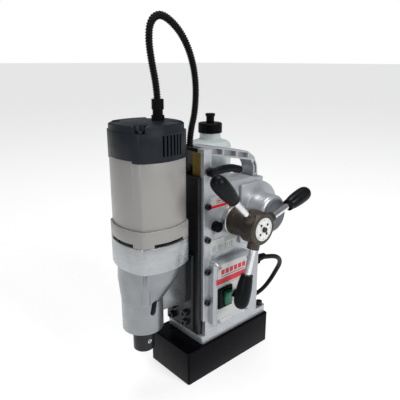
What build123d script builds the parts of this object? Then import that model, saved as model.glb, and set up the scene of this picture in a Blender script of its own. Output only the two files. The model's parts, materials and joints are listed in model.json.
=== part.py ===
"""Magnetic drill press: electromagnet base, cast stand, rack-fed drilling unit and capstan.

Millimetres.  The origin is the centre of the magnet's lower face.  +Z is up, the drilling
unit hangs at the -X end, the operator's panel and capstan face -Y, and the mains lead
leaves the stand at +X.
"""
import os
from math import atan2, cos, degrees, hypot, pi, radians, sin, sqrt, tan

from build123d import *

# ---------------------------------------------------------------- driving sizes
# electromagnet
MAGNET_L, MAGNET_W, MAGNET_H = 165.0, 85.0, 50.0
GROOVE_L, GROOVE_W, GROOVE_WALL, GROOVE_DEPTH = 139.0, 61.0, 17.0, 38.0
POTTING_T, POTTING_SINK = 6.0, 0.4

# cast stand
FLANGE_X0, FLANGE_X1, FLANGE_W, FLANGE_T = -53.7, 81.2, 76.2, 12.0
STAND_W = 76.0
STAND_X0, STAND_X1 = -52.0, 65.0
STAND_WALL = 6.0
FRAME_T = 12.4                 # depth of the slide frame at the front of the stand
FRAME_TOP = 321.0
ROOF_Z, ROOF_ROUND = 268.0, 4.5  # top of the hollow body
SHOULDER_Z, SHOULDER_W, SHOULDER_ROUND = 277.0, 26.0, 9.0
SHOULDER_X1 = 48.0
TAIL_X1, TAIL_W, TAIL_Z0 = 81.0, 44.0, 228.0
TOP_PLATE_T = 5.0
FLANGE_BOLT_R, FLANGE_BOLT_REACH, FLANGE_BOLT_EDGE = 3.0, 8.0, 7.5
FRONT_BOLT_X, FRONT_BOLT_Y, REAR_BOLT_Y = -22.0, 24.0, 31.5

# carrying handle: its bar slopes from BAR_HIGH to BAR_LOW, each (x, z) on the upper edge
HANDLE_W, HANDLE_WEB, HANDLE_BAR_T = 24.0, 6.0, 12.5
BAR_HIGH, BAR_LOW = (-19.0, FRAME_TOP + 2.5), (57.5, FRAME_TOP - 14.0)
HANDLE_ROUND = 7.5
HANDLE_POCKETS = ((-13.0, 6.0), (10.0, 33.0), (37.0, 58.0))

# slide
GIB_FACE, GIB_ROOT = 16.3, 25.0   # half widths of the dovetail at its mouth and its back
WAY_DEPTH = 7.6
NOTCH_H = 24.0                    # open foot of the slide frame, below the gibs
SLIDE_GAP = 0.06                  # running gap on every sliding face
SLIDE_PLATE_T, SLIDE_PLATE_W = 5.4, 68.0
SLIDE_Z0, SLIDE_TOP, TONGUE_TOP = 65.0, 290.0, 200.0
CARRIAGE_TRAVEL = 115.0
GIB_SCREW_X, GIB_SCREW_Z0, GIB_SCREW_PITCH, GIB_SCREW_COUNT = -46.3, 114.0, 46.0, 4
GIB_SCREW_R, GIB_SCREW_DIP = 2.5, 1.9
MOUNT_T, MOUNT_Z0, MOUNT_Z1, MOUNT_W = 5.0, 70.0, 184.0, 54.0

# capstan, pinion and rack
CAPSTAN_X, CAPSTAN_Z = 0.0, 225.0
RACK_MODULE, PINION_TEETH = 1.5, 16
RACK_Y, RACK_W = 19.0, 10.0
SHAFT_R = 8.0
SHAFT_GAP = 0.04
HUB_R, HUB_NECK_R = 22.0, 18.5
SPOKE_TIP, SPOKE_R = 111.0, 4.5
SPOKE_ANGLES = (135.0, 15.0, 255.0)
SPOKE_Y = -84.0
GRIP_LEN, GRIP_R, GRIP_COLLAR_R = 47.0, 10.5, 8.1
HUB_FRONT, HUB_BACK, HUB_SOCKET_TIP = -94.0, -46.4, 29.0
DIAL_R, DIAL_SINK, DIAL_T = 15.2, 1.0, 2.0
BUSH_WALL = 3.0

# drilling unit
MOTOR_X, SPINDLE_X, MOTOR_GLAND_X = -110.0, -125.0, -92.6
BODY_CORNER, BODY_BULGE = 33.0, 42.0
MOTOR_WALL = 3.0
NECK_Z, CASE_TOP, PLATE_TOP, RING_TOP = 138.0, 185.0, 219.0, 240.0
TUBE_TOP, CAP_SHOULDER, CAP_TOP = 320.5, 353.4, 362.0
NOSE_Z, NOSE_R = 96.0, 27.0
ARBOR_BOTTOM, ARBOR_R = 62.0, 14.0
WELDON_R, WELDON_DEPTH = 9.525, 40.0
VENT_W, VENT_H, VENT_COUNT, VENT_PITCH = 2.6, 24.0, 6, 5.2
SLOT_H, SLOT_HALF = 4.2, 22.0
CAP_SCREW_AT, CAP_SCOOP_R = 27.5, 8.0
LIP_H, LIP_HALF = 2.6, 24.0
STATOR_R, ROTOR_R, FAN_BLADES = 36.0, 24.0, 11
MOTOR_BEARING_R, MOTOR_SHAFT_R = 9.0, 4.0
UPPER_BEARING_Z0, UPPER_BEARING_R, LOWER_BEARING_R = 160.0, 15.0, 21.0
SPINDLE_SHAFT_R = 9.0

# reduction gears: motor pinion -> idler wheel, idler pinion -> spindle wheel
FAST_MODULE, MOTOR_TEETH, IDLER_TEETH = 1.0, 10, 26
SLOW_MODULE, IDLER_PINION_TEETH, SPINDLE_TEETH = 1.25, 12, 28
GEAR_GAP = 0.05
SPINDLE_WHEEL_Z0, SPINDLE_WHEEL_Z1 = 174.5, 184.0
FAST_Z0, FAST_Z1 = 190.0, 200.0
IDLER_Z0, IDLER_Z1, IDLER_SHAFT_R = 164.0, 208.0, 3.5

# switch panel on the operator's side
PANEL_X0, PANEL_X1, PANEL_Z0, PANEL_Z1, PANEL_T = -41.5, 30.0, 76.0, 174.0, 12.0
LABEL_T, PANEL_MARGIN = 0.6, 4.2
SWITCH_X, SWITCH_Z, SWITCH_W, SWITCH_H = -24.0, 120.5, 26.0, 30.0
ROCKER_X, ROCKER_W, ROCKER_H, ROCKER_TILT = -20.6, 13.0, 22.0, 9.0
KNOB_X, KNOB_Z = -3.3, 118.0

# feed housing beside the capstan
FEED_X, FEED_Z, FEED_R, FEED_FLANGE_T, FEED_EDGE_X = 46.0, 225.0, 45.0, 4.5, 14.0
FEED_NOSE_X, FEED_NOSE_Z, FEED_NOSE_R, FEED_NOSE_LEN = 49.5, 227.0, 27.5, 28.0
FEED_MOTOR_R, HUB_SWEEP_R, FEED_NOSE_ROUND = 21.0, 22.0, 4.8
FEED_LOCK_X, FEED_LOCK_Z, FEED_LOCK_R = -31.6, 222.0, 7.2

# lock lever
LEVER_X, LEVER_Z, LEVER_REACH, LEVER_R = -45.0, 298.0, 47.0, 5.2

# coolant bottle
BOTTLE_X, BOTTLE_Y, BOTTLE_R, BOTTLE_Z0, BOTTLE_Z1 = 64.0, 74.0, 33.0, 160.0, 300.0
BOTTLE_WALL, BOTTLE_NECK_R, BOTTLE_CAP_R = 1.6, 16.5, 18.6
BOTTLE_RIM_Z, BOTTLE_CAP_Z = 324.5, 338.5

# mains lead and motor conduit
CORD_D = 7.5
CORD_LENGTH = 2500.0
GLAND_Y, GLAND_Z = -25.0, 139.0
COIL_X, COIL_Y, COIL_MEAN_R = 105.0, 102.0, 44.0
COIL_LAYER_TURNS, COIL_LAYERS = 3, 3
PLUG_LEN, PLUG_W, PLUG_H = 44.0, 26.0, 18.0
CONDUIT_D, CONDUIT_START_Z = 9.3, 388.0
CONDUIT_END = (-45.7, -3.6)

HALF_W = STAND_W / 2
FLANGE_TOP = MAGNET_H + FLANGE_T
FRAME_BACK = STAND_X0 + FRAME_T
SIDE_Y = -HALF_W
WAY_BACK = STAND_X0 + 0.4 + WAY_DEPTH
TOP_PLATE_TOP = FRAME_TOP + TOP_PLATE_T
PINION_R = RACK_MODULE * PINION_TEETH / 2
PITCH_LINE_X = CAPSTAN_X - PINION_R
PANEL_FRONT = SIDE_Y - PANEL_T
FEED_FRONT = SIDE_Y - FEED_FLANGE_T
FEED_NOSE_FRONT = FEED_FRONT - FEED_NOSE_LEN
SLIDE_FRONT = STAND_X0 - 0.6 - SLIDE_PLATE_T
MOUNT_FRONT = SLIDE_FRONT - MOUNT_T
REAR_BOLT_X = FLANGE_X1 - FLANGE_BOLT_EDGE
FLANGE_BOLTS = [(FRONT_BOLT_X, -FRONT_BOLT_Y), (FRONT_BOLT_X, FRONT_BOLT_Y),
                (REAR_BOLT_X, -REAR_BOLT_Y), (REAR_BOLT_X, REAR_BOLT_Y)]
COIL_HEIGHT = COIL_LAYERS * CORD_D
PLUG_PLACE = (COIL_X - 18.0, COIL_Y + 38.0, COIL_HEIGHT + PLUG_H / 2)

# ---------------------------------------------------------------- routes of the leads
CONDUIT_ROUTE = [
    (MOTOR_GLAND_X, 0.0, CONDUIT_START_Z - 5), (-93.6, 0.0, 402.0), (-99.0, 0.0, 426.0),
    (-103.5, -0.3, 453.0),
    (-100.5, -0.6, 473.0), (-88.0, -0.9, 481.5), (-71.5, -1.2, 475.0), (-53.5, -1.6, 459.0),
    (-39.5, -2.0, 433.0),
    (-33.4, -2.6, 402.0), (-36.0, -3.2, 367.0), (-44.6, -3.5, 343.0), (*CONDUIT_END, TOP_PLATE_TOP - 3),
]

CORD_START_X = STAND_X1 + 24.0
COIL_JOIN = (COIL_X + COIL_MEAN_R + 1.5, COIL_Y - 29.0, CORD_D / 2 + 0.1)
CORD_ROUTE = [
    (CORD_START_X, GLAND_Y, GLAND_Z - 2.0), (108.5, -26.0, 133.5), (127.5, -25.0, 124.0),
    (142.0, -17.0, 107.5),
    (149.0, -4.0, 87.0), (150.0, 8.0, 64.0), (150.0, 22.0, 42.0), (150.0, 38.5, 23.5), (150.3, 55.0, 10.0),
    COIL_JOIN,
]


# ---------------------------------------------------------------- small helpers
def block(x0, x1, y0, y1, z0, z1):
    """A box between two opposite corners."""
    return Pos((x0 + x1) / 2, (y0 + y1) / 2, (z0 + z1) / 2) * Box(x1 - x0, y1 - y0, z1 - z0)


def rod_z(x, y, z0, z1, r):
    """A round bar along Z."""
    return Pos(x, y, (z0 + z1) / 2) * Cylinder(r, z1 - z0)


def rod_y(x, z, y0, y1, r):
    """A round bar along Y."""
    return Pos(x, (y0 + y1) / 2, z) * Rot(90, 0, 0) * Cylinder(r, y1 - y0)


def rod_x(y, z, x0, x1, r):
    """A round bar along X."""
    return Pos((x0 + x1) / 2, y, z) * Rot(0, 90, 0) * Cylinder(r, x1 - x0)


def ring_z(x, y, z0, z1, outer, inner):
    return rod_z(x, y, z0, z1, outer) - rod_z(x, y, z0 - 1, z1 + 1, inner)


def ring_y(x, z, y0, y1, outer, inner):
    return rod_y(x, z, y0, y1, outer) - rod_y(x, z, y0 - 1, y1 + 1, inner)


def prism_y(points, y0, y1):
    """A closed (x, z) outline, pulled from y0 to y1."""
    face = make_face(Polyline(*points, close=True))
    return Pos(0, y1, 0) * extrude(Plane.XZ * face, y1 - y0)


def prism_z(points, z0, z1):
    """A closed (x, y) outline, pulled from z0 to z1."""
    face = make_face(Polyline(*points, close=True))
    return Pos(0, 0, z0) * extrude(face, z1 - z0)


def upright_edges(solid):
    return solid.edges().filter_by(Axis.Z)


def socket_screw_y(x, z, y_seat, head_r, head_h, shank_r, shank_len):
    """A socket head screw whose head stands out of a -Y face, with its hexagon socket."""
    head = rod_y(x, z, y_seat - head_h, y_seat, head_r)
    shank = rod_y(x, z, y_seat, y_seat + shank_len, shank_r)
    socket = prism_y(polygon_points(x, z, head_r * 0.55, 6), y_seat - head_h - 1, y_seat - head_h * 0.4)
    return head + shank - socket


def socket_screw_z(x, y, z_seat, head_r, head_h, shank_r, shank_len):
    """A socket head screw that stands on an upward face."""
    head = rod_z(x, y, z_seat, z_seat + head_h, head_r)
    shank = rod_z(x, y, z_seat - shank_len, z_seat, shank_r)
    socket = prism_z(polygon_points(x, y, head_r * 0.55, 6), z_seat + head_h * 0.4, z_seat + head_h + 1)
    return head + shank - socket


def polygon_points(cx, cy, r, sides):
    return [(cx + r * cos(2 * pi * k / sides), cy + r * sin(2 * pi * k / sides)) for k in range(sides)]


def bulged_square(corner, bulge):
    """Motor section about the origin: four corners joined by outward arcs."""
    c = corner
    sides = [
        ThreePointArc((c, -c), (bulge, 0), (c, c)),
        ThreePointArc((c, c), (0, bulge), (-c, c)),
        ThreePointArc((-c, c), (-bulge, 0), (-c, -c)),
        ThreePointArc((-c, -c), (0, -bulge), (c, -c)),
    ]
    return make_face(sides)


def body_section(z0, z1, grow=0.0, round_r=5.0):
    """A length of the drilling unit's bulged square section, grown outward by grow."""
    face = bulged_square(BODY_CORNER + grow, BODY_BULGE + grow)
    solid = Pos(MOTOR_X, 0, z0) * extrude(face, z1 - z0)
    return fillet(upright_edges(solid), max(round_r + grow, 1.0))


def gear_points(module, teeth, phase, backlash=0.16):
    """Outline of a spur gear with involute flanks; phase is the angle of one tooth's middle."""
    pitch_r = module * teeth / 2
    base_r = pitch_r * cos(radians(20))
    tip_r = pitch_r + 0.9 * module
    root_r = pitch_r - 1.15 * module
    inv20 = tan(radians(20)) - radians(20)
    half_pitch_tooth = (pi * module / 2 - backlash) / (2 * pitch_r)

    def half_angle(r):
        if r <= base_r:
            return half_pitch_tooth + inv20
        lean = sqrt((r / base_r) ** 2 - 1)
        return half_pitch_tooth + inv20 - (lean - atan2(lean, 1))

    radii = [root_r, max(base_r, root_r + 0.05), pitch_r, (pitch_r + tip_r) / 2, tip_r]
    points = []
    for k in range(teeth):
        middle = phase + 2 * pi * k / teeth
        rising = [(r, middle - half_angle(r)) for r in radii]
        falling = [(r, middle + half_angle(r)) for r in reversed(radii)]
        points += [(r * cos(a), r * sin(a)) for r, a in rising + falling]
    return points


def spur_gear_z(module, teeth, x, y, z0, z1, phase):
    points = [(x + px, y + py) for px, py in gear_points(module, teeth, phase)]
    return prism_z(points, z0, z1)


def mesh_phase(direction, own_phase, own_teeth, other_teeth):
    """Phase of a gear that meshes with one at own_phase, lying at angle direction from it."""
    offset = (direction - own_phase) * own_teeth / (2 * pi)
    return direction + pi - (0.5 - offset) * 2 * pi / other_teeth


def polar(cx, cy, r, angle):
    return cx + r * cos(angle), cy + r * sin(angle)


# ---------------------------------------------------------------- electromagnet
def groove(width_out, length_out, wall, z0, z1):
    outer = Pos(0, 0, (z0 + z1) / 2) * Box(length_out, width_out, z1 - z0)
    inner = Pos(0, 0, (z0 + z1) / 2) * Box(length_out - 2 * wall, width_out - 2 * wall, z1 - z0 + 2)
    return outer - inner


def magnet_parts():
    steel = Pos(0, 0, MAGNET_H / 2) * Box(MAGNET_L, MAGNET_W, MAGNET_H)
    steel = fillet(upright_edges(steel), 3)
    steel = chamfer(steel.faces().sort_by(Axis.Z)[-1].edges(), 1.2)
    steel -= groove(GROOVE_W, GROOVE_L, GROOVE_WALL, -1, GROOVE_DEPTH)
    coil_z0 = POTTING_SINK + POTTING_T
    clear = 0.5
    coil = groove(GROOVE_W - 2 * clear, GROOVE_L - 2 * clear, GROOVE_WALL - 2 * clear, coil_z0, GROOVE_DEPTH)
    potting = groove(GROOVE_W, GROOVE_L, GROOVE_WALL, POTTING_SINK, coil_z0)
    for x, y in FLANGE_BOLTS:
        steel -= rod_z(x, y, MAGNET_H - FLANGE_BOLT_REACH - 0.5, MAGNET_H + 1, FLANGE_BOLT_R)
    return {"magnet_base": steel, "magnet_coil": coil, "magnet_potting": potting}


def flange_bolt_set():
    """Two rear screws on the open flange and two front ones inside the hollow body."""
    shank = FLANGE_T + FLANGE_BOLT_REACH
    return Compound([socket_screw_z(x, y, FLANGE_TOP, 5, 6, FLANGE_BOLT_R, shank) for x, y in FLANGE_BOLTS])


# ---------------------------------------------------------------- stand
def way_points(gap):
    """Dovetail tongue outline in (x, y), shrunk by gap on its sliding faces."""
    x_mouth, x_back = STAND_X0 - 0.6, WAY_BACK - gap
    slope = (GIB_ROOT - GIB_FACE) / WAY_DEPTH
    mouth = GIB_FACE - gap
    root = GIB_FACE + slope * (x_back - (STAND_X0 + 0.4)) - gap
    front = STAND_X0 + 0.4
    half = [(x_mouth, mouth), (front, mouth), (x_back, root)]
    return half + [(x, -y) for x, y in reversed(half)]


def gib_pair():
    """Brass gib on the operator's side and its fixed twin, filling the channel beside the tongue."""
    inner = HALF_W - STAND_WALL
    front, back = STAND_X0 + 0.4, WAY_BACK
    near = [(front, -inner), (front, -GIB_FACE), (back, -GIB_ROOT), (back, -inner)]
    far = [(x, -y) for x, y in near]
    near_bar = prism_z(near, FLANGE_TOP + NOTCH_H, FRAME_TOP)
    far_bar = prism_z(far, FLANGE_TOP + NOTCH_H, FRAME_TOP)
    for z in gib_screw_heights():
        near_bar -= rod_y(GIB_SCREW_X, z, -inner - 1, -inner + GIB_SCREW_DIP + 0.1, GIB_SCREW_R + 0.1)
    return Compound([near_bar, far_bar])


def gib_screw_heights():
    return [GIB_SCREW_Z0 + GIB_SCREW_PITCH * k for k in range(GIB_SCREW_COUNT)]


def rack_slot():
    """Half widths and middle of the slot that the rack's web runs in."""
    return RACK_Y - RACK_W / 2 - 1.5, RACK_Y + RACK_W / 2 + 1.5


def stand_casting():
    flange = block(FLANGE_X0, FLANGE_X1, -FLANGE_W / 2, FLANGE_W / 2, MAGNET_H, FLANGE_TOP)
    flange = fillet(upright_edges(flange), 4)
    column = block(STAND_X0, STAND_X1, -HALF_W, HALF_W, FLANGE_TOP, ROOF_Z)
    column = fillet(upright_edges(column).sort_by(Axis.X)[-2:], 9)
    roof_edges = column.faces().sort_by(Axis.Z)[-1].edges()
    column = fillet([e for e in roof_edges if e.center().X > STAND_X1 - 12], ROOF_ROUND)
    frame = block(STAND_X0, FRAME_BACK, -HALF_W, HALF_W, ROOF_Z - ROOF_ROUND - 1, FRAME_TOP)
    shoulder = block(FRAME_BACK - 1, SHOULDER_X1, -HALF_W, -HALF_W + SHOULDER_W, ROOF_Z - 12, SHOULDER_Z)
    shoulder = fillet(shoulder.faces().sort_by(Axis.Z)[-1].edges().sort_by(Axis.X)[-1], SHOULDER_ROUND - 1)
    tail = prism_y(
        [(STAND_X1 - 12, TAIL_Z0 - 26), (TAIL_X1, TAIL_Z0 - 4), (TAIL_X1, ROOF_Z), (STAND_X1 - 12, ROOF_Z)],
        -TAIL_W / 2, TAIL_W / 2)
    cast = flange + column + frame + shoulder + tail

    wall = STAND_WALL
    hollow = block(FRAME_BACK, STAND_X1 - wall, -HALF_W + wall, HALF_W - wall, FLANGE_TOP, ROOF_Z - 5)
    channel = block(STAND_X0 - 5, WAY_BACK, -HALF_W + wall, HALF_W - wall, FLANGE_TOP, FRAME_TOP + 1)
    slot_y0, slot_y1 = rack_slot()
    web_slot = block(WAY_BACK - 1, FRAME_BACK + 1, slot_y0, slot_y1, SLIDE_Z0 - 3, FRAME_TOP - 2)
    roof_slot = block(FRAME_BACK, CAPSTAN_X - 6, slot_y0, slot_y1, ROOF_Z - 8, ROOF_Z + 30)
    notch_top = FLANGE_TOP + NOTCH_H
    corner_notch = block(STAND_X0 - 1, STAND_X0 + 4, -HALF_W - 1, -HALF_W + 7, FLANGE_TOP, notch_top)
    cast -= [hollow, channel, web_slot, roof_slot, corner_notch]

    cast -= rod_y(CAPSTAN_X, CAPSTAN_Z, -HALF_W - 1, HALF_W + 1, SHAFT_R + BUSH_WALL)
    cast -= rod_y(LEVER_X, LEVER_Z, -HALF_W - 1, -HALF_W + wall + 1, 2.5)
    for z in gib_screw_heights():
        cast -= rod_y(GIB_SCREW_X, z, -HALF_W - 1, -HALF_W + wall + GIB_SCREW_DIP + 0.3, GIB_SCREW_R + 0.3)
    cast -= rod_y(FEED_LOCK_X, FEED_LOCK_Z, -HALF_W - 1, -HALF_W + wall + 1, 3)
    cast -= rod_y(FEED_NOSE_X, FEED_NOSE_Z, -HALF_W - 1, -HALF_W + wall + 1, FEED_MOTOR_R + 0.5)
    cast -= rod_x(GLAND_Y, GLAND_Z, STAND_X1 - wall - 1, STAND_X1 + 1, 6)
    for x, y in FLANGE_BOLTS:
        cast -= rod_z(x, y, MAGNET_H - 1, FLANGE_TOP + 1, FLANGE_BOLT_R + 0.2)
    return cast


def top_plate():
    plate = block(STAND_X0, FRAME_BACK, -HALF_W, HALF_W, FRAME_TOP, TOP_PLATE_TOP)
    hole = rod_z(CONDUIT_END[0], CONDUIT_END[1], FRAME_TOP - 1, TOP_PLATE_TOP + 1, CONDUIT_D / 2 + 0.35)
    return plate - hole


def handle_edge(x, drop):
    """Height of the handle's bar at x, drop below its upper edge."""
    slope = (BAR_LOW[1] - BAR_HIGH[1]) / (BAR_LOW[0] - BAR_HIGH[0])
    return BAR_HIGH[1] + slope * (x - BAR_HIGH[0]) - drop


def handle_pocket(x0, x1):
    """A pocket between two stations of the handle's bar, parallel to its edges."""
    rim = 2.7
    low = HANDLE_BAR_T - rim
    return [(x0, handle_edge(x0, low)), (x1, handle_edge(x1, low)),
            (x1, handle_edge(x1, rim)), (x0, handle_edge(x0, rim))]


def carry_handle():
    """Cast handle: a sloping bar and a rear leg round a hand hole, pocketed on both sides."""
    half = HANDLE_W / 2
    under_root, under_end = -15.5, 47.5
    outer = [(FRAME_BACK, BAR_HIGH[1] + 2), BAR_HIGH, BAR_LOW,
             (TAIL_X1 - 9, ROOF_Z + 29), (TAIL_X1 - 2, ROOF_Z + 15), (TAIL_X1, ROOF_Z)]
    inner = [(TAIL_X1 - 11, ROOF_Z), (TAIL_X1 - 10.5, ROOF_Z + 15), (TAIL_X1 - 17, ROOF_Z + 25),
             (under_end, handle_edge(under_end, HANDLE_BAR_T)),
             (under_root, handle_edge(under_root, HANDLE_BAR_T)),
             (FRAME_BACK, BAR_HIGH[1] - 10)]
    body = prism_y(outer + inner, -half, half)
    corners = body.edges().filter_by(Axis.Y)
    body = fillet([e for e in corners if e.center().X > BAR_LOW[0] - 12 and e.center().Z > ROOF_Z + 5], HANDLE_ROUND)
    leg_pocket = [(TAIL_X1 + dx, ROOF_Z + dz) for dx, dz in (
        (-6.8, 4), (-3.2, 4), (-4.8, 16), (-8.5, 23), (-10.5, 20.5), (-7.4, 14))]
    for side in (-1, 1):
        y0, y1 = sorted((side * HANDLE_WEB / 2, side * (half + 1)))
        for x0, x1 in HANDLE_POCKETS:
            body -= prism_y(handle_pocket(x0, x1), y0, y1)
        body -= prism_y(leg_pocket, y0, y1)
    return body


def side_screws():
    """Gib adjusting screws in a row up the operator's side."""
    return Compound([
        socket_screw_y(GIB_SCREW_X, z, SIDE_Y, 4.1, 4.5, GIB_SCREW_R, STAND_WALL + GIB_SCREW_DIP)
        for z in gib_screw_heights()])


def capstan_bushes():
    outer, inner = SHAFT_R + BUSH_WALL, SHAFT_R + SHAFT_GAP
    front = ring_y(CAPSTAN_X, CAPSTAN_Z, -HALF_W, -HALF_W + STAND_WALL, outer, inner)
    rear = ring_y(CAPSTAN_X, CAPSTAN_Z, HALF_W - STAND_WALL, HALF_W - 1, outer, inner)
    return Compound([front, rear])


def hub_boss():
    return chamfer(ring_y(CAPSTAN_X, CAPSTAN_Z, SIDE_Y - 8, SIDE_Y, 20.5, SHAFT_R + 0.5).edges()
                   .filter_by(GeomType.CIRCLE).sort_by(Axis.Y)[0], 1)


# ---------------------------------------------------------------- switch panel
def switch_panel():
    """Hollow raised cover with rounded corners, open towards the casting."""
    shell = block(PANEL_X0, PANEL_X1, PANEL_FRONT, SIDE_Y, PANEL_Z0, PANEL_Z1)
    shell = fillet(shell.edges().filter_by(Axis.Y), 6)
    shell = chamfer(shell.faces().sort_by(Axis.Y)[0].edges(), 3.6)
    shell -= block(PANEL_X0 + 3, PANEL_X1 - 3, PANEL_FRONT + 3, SIDE_Y + 1, PANEL_Z0 + 3, PANEL_Z1 - 3)
    shell -= block(SWITCH_X - SWITCH_W / 2 + 2, SWITCH_X + SWITCH_W / 2 - 2, PANEL_FRONT - 1, PANEL_FRONT + 4,
                   SWITCH_Z - SWITCH_H / 2 + 2, SWITCH_Z + SWITCH_H / 2 - 2)
    shell -= rod_y(KNOB_X, KNOB_Z, PANEL_FRONT - 1, PANEL_FRONT + 4, 3.1)
    for x, z in panel_screw_places():
        shell -= rod_y(x, z, PANEL_FRONT - 1, PANEL_FRONT + 4, 1.5)
    return shell


def panel_screw_places():
    inset = PANEL_MARGIN + 3.5
    return [(x, z) for x in (PANEL_X0 + inset, PANEL_X1 - inset)
            for z in (PANEL_Z0 + inset, PANEL_Z1 - inset)]


def panel_label():
    """Thin printed plate on the cover, cut out round the switch, knob and screws."""
    m = PANEL_MARGIN
    front = PANEL_FRONT - LABEL_T
    plate = block(PANEL_X0 + m, PANEL_X1 - m, front, PANEL_FRONT, PANEL_Z0 + m, PANEL_Z1 - m)
    plate -= block(SWITCH_X - SWITCH_W / 2, SWITCH_X + SWITCH_W / 2, front - 1, PANEL_FRONT + 1,
                   SWITCH_Z - SWITCH_H / 2, SWITCH_Z + SWITCH_H / 2)
    plate -= rod_y(KNOB_X, KNOB_Z, front - 1, PANEL_FRONT + 1, 3.1)
    for x, z in panel_screw_places():
        plate -= rod_y(x, z, front - 1, PANEL_FRONT + 1, 1.5)
    return plate


def side_labels():
    """Two thin plates on the casting: one under the lever, one with the operating legend."""
    upper = block(-40.5, 12.0, SIDE_Y - LABEL_T, SIDE_Y, 246.0, 262.0)
    legend = block(-40.5, 10.0, SIDE_Y - LABEL_T, SIDE_Y, 182.0, 203.0)
    return Compound([upper, legend])


def switch_bezel():
    frame = block(SWITCH_X - SWITCH_W / 2, SWITCH_X + SWITCH_W / 2, PANEL_FRONT - 4, PANEL_FRONT,
                  SWITCH_Z - SWITCH_H / 2, SWITCH_Z + SWITCH_H / 2)
    frame = fillet(frame.faces().sort_by(Axis.Y)[0].edges(), 1.5)
    box_y1 = SIDE_Y - 1.5
    frame += block(SWITCH_X - SWITCH_W / 2 + 2.2, SWITCH_X + SWITCH_W / 2 - 2.2, PANEL_FRONT, box_y1,
                   SWITCH_Z - SWITCH_H / 2 + 2.2, SWITCH_Z + SWITCH_H / 2 - 2.2)
    well = block(ROCKER_X - ROCKER_W / 2 - 0.4, ROCKER_X + ROCKER_W / 2 + 0.4, PANEL_FRONT - 5, box_y1 - 2,
                 SWITCH_Z - ROCKER_H / 2 - 0.8, SWITCH_Z + ROCKER_H / 2 + 0.8)
    return frame - well


def rocker_switch():
    """Rocker with two sloping halves, tilted to one side at rest."""
    h = ROCKER_H / 2 - 1.2
    outline = [(-h, 8.0), (0, 5.2), (h, 8.0), (h - 1, 0), (3, -5), (-3, -5), (-h + 1, 0)]
    turned = []
    tilt = radians(ROCKER_TILT)
    for z, out in outline:
        turned.append((z * cos(tilt) - out * sin(tilt), z * sin(tilt) + out * cos(tilt)))
    pivot_y = PANEL_FRONT
    face = make_face(Polyline(*[(pivot_y - out, SWITCH_Z + z) for z, out in turned], close=True))
    return Pos(ROCKER_X - ROCKER_W / 2, 0, 0) * extrude(Plane.YZ * face, ROCKER_W)


def panel_screw_set():
    return Compound([
        socket_screw_y(x, z, PANEL_FRONT - LABEL_T, 2.6, 1.6, 1.5, LABEL_T + 3)
        for x, z in panel_screw_places()])


def speed_knob():
    """Small control knob with a flat pointer rib."""
    knob = rod_y(KNOB_X, KNOB_Z, PANEL_FRONT - LABEL_T - 9, PANEL_FRONT - LABEL_T - 0.3, 6)
    knob = chamfer(knob.edges().filter_by(GeomType.CIRCLE).sort_by(Axis.Y)[0], 1)
    face = PANEL_FRONT - LABEL_T
    knob += block(KNOB_X - 1, KNOB_X + 1, face - 10, face - 8, KNOB_Z - 5, KNOB_Z + 5)
    return knob + rod_y(KNOB_X, KNOB_Z, PANEL_FRONT - LABEL_T - 1, PANEL_FRONT + 6, 3.0)


def feed_lock_knob():
    """Round knob that clamps the feed shaft, on a threaded stem."""
    knob = rod_y(FEED_LOCK_X, FEED_LOCK_Z, SIDE_Y - 9, SIDE_Y - 0.3, FEED_LOCK_R)
    knob = fillet(knob.edges().filter_by(GeomType.CIRCLE).sort_by(Axis.Y)[0], 1.8)
    for k in range(12):
        x, z = polar(FEED_LOCK_X, FEED_LOCK_Z, FEED_LOCK_R + 0.3, 2 * pi * k / 12)
        knob -= rod_y(x, z, SIDE_Y - 10, SIDE_Y, 0.8)
    return knob + rod_y(FEED_LOCK_X, FEED_LOCK_Z, SIDE_Y - 1, SIDE_Y + STAND_WALL - 0.5, 3 - SHAFT_GAP)


# ---------------------------------------------------------------- feed housing
def feed_housing():
    """Round-ended flange with a hollow cylindrical nose for the feed motor."""
    flange = rod_y(FEED_X, FEED_Z, FEED_FRONT, SIDE_Y, FEED_R)
    flange += block(FEED_EDGE_X, FEED_X, FEED_FRONT, SIDE_Y, FEED_Z - FEED_R + 6, FEED_Z + FEED_R)
    flange -= rod_y(CAPSTAN_X, CAPSTAN_Z, FEED_FRONT - 1, SIDE_Y + 1, 21.0)
    flange -= block(FEED_X - FEED_R - 5, FEED_EDGE_X, FEED_FRONT - 1, SIDE_Y + 1, FEED_Z - 60, FEED_Z + 60)
    nose = rod_y(FEED_NOSE_X, FEED_NOSE_Z, FEED_NOSE_FRONT, FEED_FRONT, FEED_NOSE_R)
    nose -= rod_y(CAPSTAN_X, CAPSTAN_Z, FEED_NOSE_FRONT - 1, FEED_FRONT, HUB_SWEEP_R)
    nose = fillet(nose.edges().filter_by(GeomType.CIRCLE).sort_by(Axis.Y)[0], FEED_NOSE_ROUND)
    bore = rod_y(FEED_NOSE_X, FEED_NOSE_Z, FEED_NOSE_FRONT - 1, SIDE_Y + 1, FEED_MOTOR_R + 0.5)
    return flange + nose - bore


def feed_cap():
    """Dark cover that closes the nose of the feed housing."""
    lid = rod_y(FEED_NOSE_X, FEED_NOSE_Z, FEED_NOSE_FRONT - 2.2, FEED_NOSE_FRONT, FEED_MOTOR_R + 1.4)
    lid = fillet(lid.edges().filter_by(GeomType.CIRCLE).sort_by(Axis.Y)[0], 1)
    return lid + rod_y(FEED_NOSE_X, FEED_NOSE_Z, FEED_NOSE_FRONT, FEED_NOSE_FRONT + 5, FEED_MOTOR_R + 0.5)


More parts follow.
